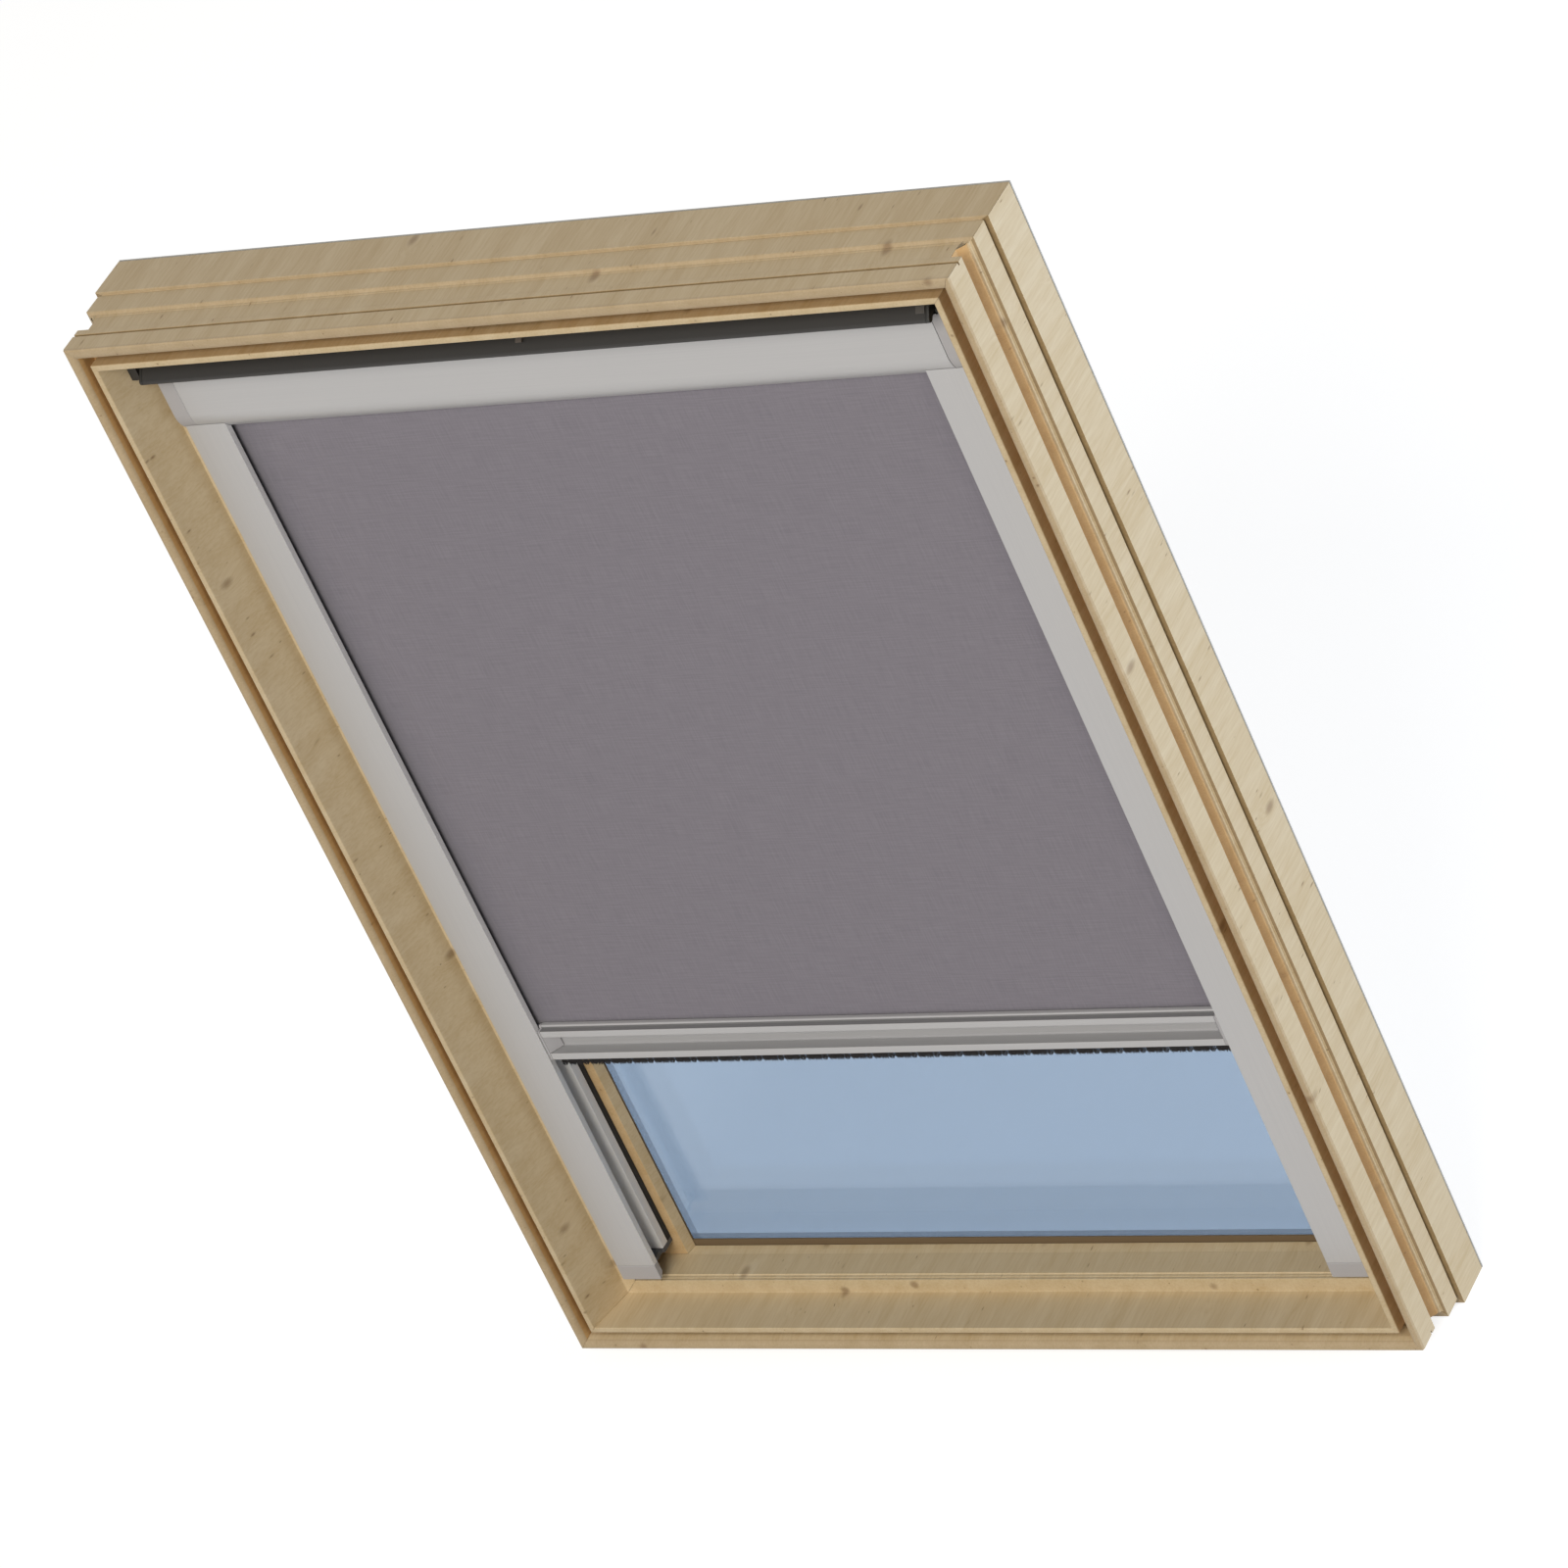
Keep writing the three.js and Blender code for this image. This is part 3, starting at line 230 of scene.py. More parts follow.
@dataclass(frozen=True)
class PlanedPine(Finish):
    """Planed pine under a clear satin lacquer.

    The eye sees pale yellow wood with faint fine streaks along the depth of the window, broad
    soft bands of early and late wood, short brown flecks that lie with the grain, and now and
    then a soft ringed knot that the grain flows round.
    """

    pale: str = "#D9C7A6"
    deep: str = "#C5AD83"
    fleck: str = "#7C5C3A"
    knot: str = "#7B5A38"
    streak_mm: float = 1.7
    streak_noise: Span = (0.36, 0.74)
    band_mm: float = 16.0
    band_noise: Span = (0.3, 0.7)
    stretch: float = 15.0
    wander_mm: float = 3.0
    wander_length_mm: float = 71.4286
    fleck_mm: Triple = (7.0, 26.0, 7.0)
    fleck_share: float = 0.14
    fleck_noise: Span = (0.42, 0.7)
    fleck_depth: float = 0.8
    knot_cell_mm: Triple = (46.0, 88.0, 46.0)
    knot_share: float = 0.085
    knot_rim: Span = (0.35, 1.4)
    knot_depth: float = 0.6
    swirl_share: float = 0.3
    swirl_mm: float = 5.0
    pores: Span = (0.22, 0.05)
    roughness: float = 0.5
    coat_weight: float = 0.12
    coat_roughness: float = 0.4

    def spread(self, place: NodeSocket, cell_mm: Triple) -> NodeSocket:
        """Strews one kind of mark through the wood.

        Args:
            place: the position that the marks are strewn over.
            cell_mm: the mean spacing of the marks along each axis.

        Returns:
            The socket with the distance to the nearest mark, in cells.
        """
        tree = place.id_data
        cells = add_node(tree, "Mapping", {"Scale": [1 / (c * MM) for c in cell_mm]}, {"Vector": place})
        marks = add_node(tree, "TexVoronoi", {"Scale": 1.0}, {"Vector": cells.outputs[0]})
        return marks.outputs["Distance"]

    def paint(self, shader: Node) -> None:
        """Draws the wood from object coordinates, which run through the solid.

        Args:
            shader: the Principled shader.
        """
        tree = shader.id_data
        place = add_node(tree, "TexCoord").outputs["Object"]
        knots = self.spread(place, self.knot_cell_mm)
        # the grain wanders a little everywhere, and flows round each knot
        wander = add_node(tree, "TexNoise", {"Scale": 1 / (self.wander_length_mm * MM), "Detail": 2.0},
                          {"Vector": place})
        bend = add_node(tree, "Math", {1: self.wander_mm * MM}, {0: wander.outputs["Fac"]},
                        operation="MULTIPLY")
        swirl = add_node(tree, "MapRange",
                         {"From Max": self.swirl_share, "To Min": self.swirl_mm * MM, "To Max": 0.0},
                         {"Value": knots}, interpolation_type="SMOOTHSTEP")
        shift = add_node(tree, "Math", None, {0: bend.outputs[0], 1: swirl.outputs["Result"]}, operation="ADD")
        moved = add_node(tree, "VectorMath", None, {0: place, 1: shift.outputs[0]}, operation="ADD").outputs[0]
        noises, tones = [], []
        for width_mm, detail, (low, high) in ((self.streak_mm, 3.0, self.streak_noise),
                                              (self.band_mm, 2.0, self.band_noise)):
            across = 1 / (width_mm * MM)
            drawn = add_node(tree, "Mapping", {"Scale": (across, across / self.stretch, across)},
                             {"Vector": moved})
            noises.append(add_node(tree, "TexNoise", {"Scale": 1.0, "Detail": detail, "Roughness": 0.55},
                                   {"Vector": drawn.outputs[0]}).outputs["Fac"])
            tones.append(add_node(tree, "MapRange", {"From Min": low, "From Max": high},
                                  {"Value": noises[-1]}).outputs["Result"])
        grain = add_node(tree, "Mix", {0: 0.5}, {2: tones[0], 3: tones[1]})
        wood = add_node(tree, "Mix", {6: linear(self.pale), 7: linear(self.deep)}, {0: grain.outputs[0]},
                        data_type="RGBA")
        flecks = self.spread(moved, self.fleck_mm)
        # the band noise thins the flecks out, so that they come in loose groups
        low, high = self.fleck_noise
        room = add_node(tree, "MapRange",
                        {"From Min": low, "From Max": high, "To Min": 0.0, "To Max": self.fleck_share * 2},
                        {"Value": noises[1]})
        short = add_node(tree, "MapRange", {"To Min": self.fleck_depth, "To Max": 0.0},
                         {"Value": flecks, "From Max": room.outputs["Result"]}, interpolation_type="SMOOTHSTEP")
        flecked = add_node(tree, "Mix", {7: linear(self.fleck)}, {0: short.outputs["Result"], 6: wood.outputs[2]},
                           data_type="RGBA")
        heart, rim = (self.knot_share * share for share in self.knot_rim)
        ringed = add_node(tree, "MapRange",
                          {"From Min": heart, "From Max": rim, "To Min": self.knot_depth, "To Max": 0.0},
                          {"Value": knots}, interpolation_type="SMOOTHSTEP")
        colour = add_node(tree, "Mix", {7: linear(self.knot)}, {0: ringed.outputs["Result"], 6: flecked.outputs[2]},
                          data_type="RGBA")
        self.emboss(shader, noises[0], self.pores)
        feed(shader, {"Roughness": self.roughness, "Coat Weight": self.coat_weight,
                            "Coat Roughness": self.coat_roughness}, {"Base Color": colour.outputs[2]})


@dataclass(frozen=True)
class LacqueredAluminium(Finish):
    """Extruded aluminium under a matt silver lacquer.

    The eye sees an even silver grey with faint die lines along the run of the profile and a
    wide soft highlight. The lacquer is clouded, so only part of the metal's mirror shows.
    """

    colour: str = "#C5C5C7"
    line: str = "#BDBDC0"
    run: Run = Run.ACROSS
    line_mm: float = 1.1
    line_length_mm: float = 160.0
    metallic: float = 0.25
    gloss: Span = (0.38, 0.46)
    relief: Span = (0.12, 0.02)

    def paint(self, shader: Node) -> None:
        """Draws the die lines, wider than real ones so that they show.

        Args:
            shader: the Principled shader.
        """
        scale = [1 / (self.line_mm * MM)] * 3
        scale[self.run.value] = 1 / (self.line_length_mm * MM)
        tree = shader.id_data
        place = add_node(tree, "TexCoord").outputs["Object"]
        drawn = add_node(tree, "Mapping", {"Scale": scale}, {"Vector": place})
        lines = add_node(tree, "TexNoise", {"Scale": 1.0, "Detail": 2.0}, {"Vector": drawn.outputs[0]})
        self.vary(shader, lines.outputs["Fac"], (linear(self.line), linear(self.colour)), self.gloss)
        self.emboss(shader, lines.outputs["Fac"], self.relief)
        feed(shader, {"Metallic": self.metallic})


@dataclass(frozen=True)
class PolishedAluminium(LacqueredAluminium):
    """Bare aluminium profile with a polished face.

    The eye sees a bright metal line that mirrors what stands round it.
    """

    colour: str = "#DADCDF"
    line: str = "#D2D4D8"
    metallic: float = 1.0
    gloss: Span = (0.12, 0.2)


@dataclass(frozen=True)
class Moulded(Finish):
    """Injection-moulded plastic with a fine eroded texture.

    The eye sees one even colour that breaks up a little in the highlight.
    """

    colour: str = "#A5A3A2"
    grit_mm: float = 0.7
    mottle: float = 0.04
    gloss: Span = (0.42, 0.54)
    relief: Span = (0.2, 0.03)

    def paint(self, shader: Node) -> None:
        """Draws the eroded grit, coarser than real so that it shows.

        Args:
            shader: the Principled shader.
        """
        tree = shader.id_data
        place = add_node(tree, "TexCoord").outputs["Object"]
        grit = add_node(tree, "TexNoise", {"Scale": 1 / (self.grit_mm * MM), "Detail": 3.0}, {"Vector": place})
        tones = (toned(self.colour, 1 - self.mottle), toned(self.colour, 1 + self.mottle))
        self.vary(shader, grit.outputs["Fac"], tones, self.gloss)
        self.emboss(shader, grit.outputs["Fac"], self.relief)


@dataclass(frozen=True)
class CoatedSheet(Moulded):
    """Aluminium roof sheet with a baked grey coating.

    The eye sees a dull dark grey with a faint orange peel.
    """

    colour: str = "#54585B"
    grit_mm: float = 2.2
    mottle: float = 0.07
    gloss: Span = (0.44, 0.56)


@dataclass(frozen=True)
class MouldedRubber(Moulded):
    """Extruded EPDM rubber.

    The eye sees a matt black with a slight bloom.
    """

    colour: str = "#1E1E20"
    grit_mm: float = 1.4
    mottle: float = 0.2
    gloss: Span = (0.72, 0.84)


@dataclass(frozen=True)
class ZincPlated(Finish):
    """Pressed steel, bright zinc plated.

    The eye sees a cool grey metal whose plating clouds the gloss in patches.
    """

    colour: str = "#AEB0B2"
    cloud_mm: float = 4.0
    cloud_level: float = 0.86
    gloss: Span = (0.26, 0.46)

    def paint(self, shader: Node) -> None:
        """Clouds the roughness and the tone of the plating.

        Args:
            shader: the Principled shader.
        """
        tree = shader.id_data
        place = add_node(tree, "TexCoord").outputs["Object"]
        cloud = add_node(tree, "TexNoise", {"Scale": 1 / (self.cloud_mm * MM), "Detail": 4.0}, {"Vector": place})
        tones = (toned(self.colour, self.cloud_level), linear(self.colour))
        self.vary(shader, cloud.outputs["Fac"], tones, self.gloss)
        feed(shader, {"Metallic": 1.0})


@dataclass(frozen=True)
class FloatGlass(Finish):
    """Coated float glass of a sealed double unit.

    The eye sees clear glass with a pale blue cast and a sharp reflection.
    """

    colour: str = "#C3D0DE"
    film_mm: float = 166.667
    film_roughness: float = 0.012
    index: float = 1.45

    def paint(self, shader: Node) -> None:
        """Sets clear glass; a very faint film varies its gloss.

        Args:
            shader: the Principled shader.
        """
        tree = shader.id_data
        place = add_node(tree, "TexCoord").outputs["Object"]
        film = add_node(tree, "TexNoise", {"Scale": 1 / (self.film_mm * MM), "Detail": 2.0}, {"Vector": place})
        rough = add_node(tree, "MapRange", {"To Max": self.film_roughness}, {"Value": film.outputs["Fac"]})
        feed(shader, {"Base Color": linear(self.colour), "Transmission Weight": 1.0, "IOR": self.index},
             {"Roughness": rough.outputs["Result"]})


@dataclass(frozen=True)
class BlackoutCloth(Finish):
    """Plain-woven polyester with a blackout coating.

    The eye sees a matt mauve grey with fine cross threads, a few thicker than the rest, and
    a soft sheen towards grazing light.
    """

    colour: str = "#8C8893"
    thread: str = "#807C87"
    thread_mm: float = 1.2
    slub_mm: float = 26.0
    weave_noise: Span = (0.7, 1.3)
    relief: Span = (0.18, 0.05)
    roughness: float = 0.82
    sheen_weight: float = 0.12
    sheen_roughness: float = 0.5

    def paint(self, shader: Node) -> None:
        """Draws warp and weft from the cloth's own map, coarser than the real weave so it shows.

        Args:
            shader: the Principled shader.
        """
        tree = shader.id_data
        sheet = add_node(tree, "TexCoord").outputs["UV"]
        threads = []
        for slim in (0, 1):
            scale = [1 / (self.slub_mm * MM)] * 3
            scale[slim] = 1 / (self.thread_mm * MM)
            drawn = add_node(tree, "Mapping", {"Scale": scale}, {"Vector": sheet})
            threads.append(add_node(tree, "TexNoise", {"Scale": 1.0, "Detail": 3.0},
                                    {"Vector": drawn.outputs[0]}).outputs["Fac"])
        weave = add_node(tree, "Math", None, {0: threads[0], 1: threads[1]}, operation="ADD")
        low, high = self.weave_noise
        share = add_node(tree, "MapRange", {"From Min": low, "From Max": high}, {"Value": weave.outputs[0]})
        tone = add_node(tree, "Mix", {6: linear(self.thread), 7: linear(self.colour)},
                        {0: share.outputs["Result"]}, data_type="RGBA")
        self.emboss(shader, weave.outputs[0], self.relief)
        feed(shader, {"Roughness": self.roughness, "Sheen Weight": self.sheen_weight,
                            "Sheen Roughness": self.sheen_roughness}, {"Base Color": tone.outputs[2]})


@dataclass(frozen=True)
class NylonPile(Finish):
    """Cut nylon pile of a draught brush.

    The eye sees near black hairs with a warm tint towards their tips.
    """

    root: str = "#0A0807"
    tip: str = "#191314"
    clump_mm: float = 1.5
    roughness: float = 0.75

    def paint(self, shader: Node) -> None:
        """Varies the tone from clump to clump.

        Args:
            shader: the Principled shader.
        """
        tree = shader.id_data
        place = add_node(tree, "TexCoord").outputs["Object"]
        clumps = add_node(tree, "TexNoise", {"Scale": 1 / (self.clump_mm * MM), "Detail": 2.0}, {"Vector": place})
        tone = add_node(tree, "Mix", {6: linear(self.root), 7: linear(self.tip)}, {0: clumps.outputs["Fac"]},
                        data_type="RGBA")
        feed(shader, {"Roughness": self.roughness}, {"Base Color": tone.outputs[2]})


PINE = PlanedPine("planed_pine_satin_lacquer", "pine")
# painted shade on the channel and on the uprights' inner faces toward the sash: a warmer, deeper pine with finer
# streaks
RECESS_SHADE_PINE = PlanedPine("pine_painted_recess_shade", "pine", pale="#CEA974", deep="#BA9059", fleck="#8A6438",
                         streak_mm=1.1, knot_depth=0.2)
# painted shade in the fine grooves: a dull brown pine
GROOVE_SHADE_PINE = PlanedPine("pine_painted_groove_shade", "pine", pale="#A48C66", deep="#8E7650", fleck="#6E5636",
                       knot_depth=0.2)
# painted shade on the sash's outer faces in the gap and its flats behind the rails: a warmer, deeper pine
GAP_SHADE_PINE = PlanedPine("pine_painted_gap_shade", "pine", pale="#D2B68C", deep="#BD9B6B", fleck="#8A6438")
# painted shade, pine a shade deeper: on the head's board, and on the rounded rim and the steps
HEAD_SHADE_PINE = PlanedPine("pine_painted_head_shade", "pine", pale="#CFBB98", deep="#BAA178")
# painted shade on the rounded rim and the steps
RIM_SHADE_PINE = PlanedPine("pine_painted_rim_shade", "pine", pale="#C6B190", deep="#B29B76")
PROFILE_ACROSS = LacqueredAluminium("silver_lacquered_aluminium_across", "aluminium")
PROFILE_UP = LacqueredAluminium("silver_lacquered_aluminium_upright", "aluminium", run=Run.UP)
# the bar; then painted shade on its step and a deeper painted shade in its recess, greyer from one to the next
BAR_PROFILE = LacqueredAluminium("silver_lacquered_aluminium_bar", "aluminium", colour="#C1C1C3", line="#B9B9BC")
BAR_STEP_SHADE = LacqueredAluminium("silver_lacquered_bar_step_painted_shade", "aluminium", colour="#ADADAF", line="#A5A5A8")
BAR_RECESS_SHADE = LacqueredAluminium("silver_lacquered_bar_recess_painted_shade", "aluminium", colour="#8B8B8D", line="#838386")
# painted highlight: the rail's inner edge faces beside the cloth drawn as a near white line
EDGE_PAINTED_HIGHLIGHT = LacqueredAluminium("aluminium_edge_painted_highlight", "aluminium", colour="#F4F4F5", line="#EAEAEC",
                                 run=Run.UP, metallic=0.1)
SPACER_BAR = PolishedAluminium("polished_aluminium_spacer", "dark_plastic")
GREY_ABS = Moulded("moulded_abs_grey", "grey_plastic", colour="#B4B3B7")
PAD_ABS = Moulded("moulded_pad_grey", "grey_plastic", colour="#4A4744")
# painted light: the faces in the rail's slot drawn near white, where the slot lies in shade
SLOT_PAINTED_LIGHT = Moulded("slot_painted_light_white", "grey_plastic", colour="#F0F0F0", mottle=0.02)
SLATE_ABS = Moulded("moulded_abs_slate", "dark_plastic", colour="#56585C")
BROWN_ABS = Moulded("moulded_abs_brown", "dark_plastic", colour="#58504A")
DARK_ABS = Moulded("moulded_abs_charcoal", "dark_plastic", colour="#262422")
BLACK_ABS = Moulded("moulded_abs_black", "dark_plastic", colour="#1D1C1A")
ROOF_SHEET = CoatedSheet("coated_aluminium_sheet", "roof_metal")
# painted light: the frame cover drawn pale so that its edge in the shaded gap does not read dark
PALE_SHEET_PAINTED_LIGHT = CoatedSheet("coated_aluminium_painted_light", "roof_metal", colour="#B4B2AC")
RUBBER = MouldedRubber("extruded_epdm_rubber", "rubber")
TAN_RUBBER = MouldedRubber("extruded_rubber_brown", "rubber", colour="#6C5A42", mottle=0.08)
ZINC = ZincPlated("zinc_plated_steel", "steel")
GLASS = FloatGlass("float_glass_coated", "glass")
CLOTH = BlackoutCloth("woven_blackout_polyester", "blackout_cloth")
PILE = NylonPile("cut_nylon_pile", "brush_hair")


def copy_of(node: str) -> BMesh:
    """Copies a node's mesh, merged and cleared of the lines inside its flat faces.

    Args:
        node: the node's name.

    Returns:
        The copy, ready for the operators.
    """
    shape = bmesh.new()
    shape.from_mesh(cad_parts[node].data)
    bmesh.ops.remove_doubles(shape, verts=shape.verts, dist=MERGE_MM * MM)
    bmesh.ops.dissolve_limit(shape, angle_limit=math.radians(FLAT_DEGREES), verts=shape.verts,
                             edges=shape.edges)
    return shape


def face_reach(face: BMFace, edge: BMEdge) -> float:
    """Returns how far, in metres, a face reaches away from one of its edges."""
    along = (edge.verts[1].co - edge.verts[0].co).normalized()
    return max((v.co - edge.verts[0].co).cross(along).length for v in face.verts)


def ease(shape: BMesh, width_mm: float, wanted: EdgeTest, segments: int = 2, sharper_than: float = 28.0) -> None:
    """Rounds the wanted sharp edges that have room for it.

    Args:
        shape: the mesh to change.
        width_mm: the width of the rounding along each face.
        wanted: picks the edges.
        segments: the steps of the rounding.
        sharper_than: the smallest angle between the faces, in degrees.
    """
    width = width_mm * MM
    limit = math.radians(sharper_than)
    picked = [e for e in shape.edges if len(e.link_faces) == 2 and e.calc_face_angle(0) > limit and wanted(e)
              and min(face_reach(f, e) for f in e.link_faces) > EDGE_ROOM * width]
    bmesh.ops.bevel(shape, geom=picked, offset=width, offset_type="OFFSET", affect="EDGES", segments=segments,
                    profile=0.5, material=-1, clamp_overlap=False)


def runs_along(run: Run, edge: BMEdge) -> bool:
    """Tells whether an edge is parallel to an axis."""
    way = (edge.verts[1].co - edge.verts[0].co).normalized()
    return abs(way[run.value]) > PARALLEL


def lies_at(place_mm: float, edge: BMEdge) -> bool:
    """Tells whether both ends of an edge are at one place to the right of the middle."""
    return all(abs(v.co.x / MM - place_mm) < SAME_MM for v in edge.verts)


@dataclass
class Piece:
    """One finished mesh, the body that carries it, its finish and the nodes it stands for.

    The finishes in more are those of single faces. A piece without a body rides on none,
    and one with a thickness is a cloth, drawn half to each side of its mesh.
    """

    name: str
    body: str | None
    finish: Finish
    stands_for: tuple[str, ...]
    more: tuple[Finish, ...] = ()
    smooth_below: float = 32.0
    even: bool = True
    thickness_mm: float = 0.0

    def index_of(self, finish: Finish) -> int:
        """Returns the number by which a face is given one of the piece's finishes."""
        return (self.finish, *self.more).index(finish)

    def made_of(self, shape: BMesh) -> Object:
        """Turns the shape into an object at the origin, dresses it and lets it ride.

        Args:
            shape: the finished bmesh, in metres; it is freed here.

        Returns:
            The object.
        """
        mesh = bpy.data.meshes.new(self.name)
        shape.to_mesh(mesh)
        shape.free()
        mesh.shade_smooth()
        mesh.set_sharp_from_angle(angle=math.radians(self.smooth_below))
        piece = placed(self.name, mesh)
        for finish in (self.finish, *self.more):
            mesh.materials.append(finish.material())
        if self.even:
            shading = piece.modifiers.new("even_shading", "WEIGHTED_NORMAL")
            shading.keep_sharp = True
        if self.thickness_mm:
            solid = piece.modifiers.new("cloth_thickness", "SOLIDIFY")
            solid.thickness = self.thickness_mm * MM
            solid.offset = 0
        if self.body:
            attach(piece, self.body)
        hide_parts(*self.stands_for)
        log.info("%s: %d faces", self.name, len(mesh.polygons))
        return piece


def dress(finish: Finish, *nodes: str) -> None:
    """Gives carried-over nodes their finish.

    Args:
        finish: the finish.
        *nodes: the names of the nodes.
    """
    for name in nodes:
        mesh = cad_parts[name].data
        mesh.materials.clear()
        mesh.materials.append(finish.material())
        log.info("%s: carried over", name)


def eased_copies(body: str, finish: Finish, width_mm: float, run: Run, *nodes: str) -> None:
    """Replaces nodes by copies whose edges along the run are rounded.

    Args:
        body: the body that carries them.
        finish: their finish.
        width_mm: the width of the rounding.
        run: the axis that the edges are parallel to.
        *nodes: the names of the nodes.
    """
    for node in nodes:
        shape = copy_of(node)
        ease(shape, width_mm, partial(runs_along, run))
        Piece(f"{node}_eased", body, finish, (node,)).made_of(shape)


@dataclass(frozen=True)
class SectionRow:
    """One corner of the frame's section, in millimetres.

    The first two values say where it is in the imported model. The rest say at which depth it is
    drawn, how far it moves outward on the sides, and how far it rises at the head and the sill.
    """

    depth: float
    reach: float
    drawn_depth: float
    out_side: float
    rise_head: float
    rise_sill: float


@dataclass
class FrameTimber:
    """The outer frame: four mitred members, the lock keep, the pivot pins and the roof sheet."""

    ease_mm: float = 0.45
    keep_ease_mm: float = 0.5
    rim: tuple[SectionRow, ...] = (
        SectionRow(18.0, 358.7, 18.0, -1.4, 0.0, 0.0),
        SectionRow(0.0, 358.7, 7.0, -1.4, -0.8, 0.0),
        SectionRow(0.0, 360.5, 3.2, -2.4, -6.2, 3.5),
        SectionRow(0.171, 361.582, 1.0, -2.0, -5.6, 3.0),
        SectionRow(0.668, 362.557, 0.2, -1.1, -3.1, 1.8),
        SectionRow(1.443, 363.332, 0.0, -0.3, -0.8, 0.3),
        SectionRow(2.418, 363.829, 0.5, 0.8, 0.0, -0.2),
        SectionRow(3.5, 364.0, 2.3, 1.3, 0.0, 0.0),
    )
    same_depth_mm: float = 0.06
    same_reach_mm: float = 0.3
    level_reach: float = 364.0
    level_out: float = 1.3
    level_depths: Span = (16.0, 24.4)
    mitre_normal: float = 0.3
    channel_depths: Span = (24.3, 39.6)
    slit_depths: tuple[Span, ...] = ((41.8, 42.79), (61.51, 63.69))
    end_slit_depths: Span = (17.01, 18.79)
    inner_mm: float = 357.8
    rim_to_mm: float = 2.2
    step_from_mm: float = 20.0

    def drawn(self, place: Vector) -> Vector:
        """Finds where one corner of a member is drawn.

        Args:
            place: the corner in millimetres, its depth from the room face.

        Returns:
            The corner's new place in millimetres.
        """
        side = math.copysign(1, place.x)
        for row in self.rim:
            if (abs(place.y - row.depth) < self.same_depth_mm
                    and abs(abs(place.x) - row.reach) < self.same_reach_mm):
                rise = row.rise_head if place.z > MIDDLE_HEIGHT else row.rise_sill
                return Vector((place.x + side * row.out_side, row.drawn_depth, place.z + rise))
        low, high = self.level_depths
        if low < place.y < high and abs(abs(place.x) - self.level_reach) < self.same_reach_mm:
            return Vector((place.x + side * self.level_out, place.y, place.z))
        return place

    def member(self, node: str, run: Run, board: Finish) -> None:
        """Replaces one member by a copy with a rounded rim; its channel, grooves, inner faces, rim front and steps
        get darker pine as painted shade.

        Args:
            node: the member's name.
            run: the axis that it runs along.
            board: the finish of its planed faces.
        """
        piece = Piece(f"{node}_eased", "frame", board, (node,), (RECESS_SHADE_PINE, GROOVE_SHADE_PINE, RIM_SHADE_PINE))
        upright = run is Run.UP
        slits = self.slit_depths if upright else (self.end_slit_depths,)
        shape = copy_of(node)
        for vert in shape.verts:
            vert.co = point(*self.drawn(in_millimetres(vert.co)))
        for face in shape.faces:
            if abs(face.normal[run.value]) > self.mitre_normal:
                continue
            across, depth, _ = in_millimetres(face.calc_center_median())
            finish = board
            # painted shade on the channel
            if upright and self.channel_depths[0] < depth < self.channel_depths[1]:
                finish = RECESS_SHADE_PINE
            # painted shade in the grooves
            if any(low < depth < high for low, high in slits):
                finish = GROOVE_SHADE_PINE
            # painted shade on the inner faces toward the sash
            if upright and abs(across) < self.inner_mm:
                finish = RECESS_SHADE_PINE
            # painted shade on the rim front and the steps' front faces
            step = not upright and depth > self.step_from_mm and face.normal.y < -FACING
            if step or depth < self.rim_to_mm:
                finish = RIM_SHADE_PINE
            face.material_index = piece.index_of(finish)
        ease(shape, self.ease_mm, partial(runs_along, run))
        piece.made_of(shape)

    def build(self) -> None:
        """Makes the four members and dresses the metal on them."""
        # the head's board gets painted shade
        for node, run, board in (("frame_left", Run.UP, PINE), ("frame_right", Run.UP, PINE),
                                 ("frame_head", Run.ACROSS, HEAD_SHADE_PINE), ("frame_sill", Run.ACROSS, PINE)):
            self.member(node, run, board)
        eased_copies("frame", ZINC, self.keep_ease_mm, Run.ACROSS, "lock_keep")
        dress(ZINC, "pivot_pin_left", "pivot_pin_right")
        # painted light: the frame cover drawn pale
        dress(PALE_SHEET_PAINTED_LIGHT, "frame_cover")


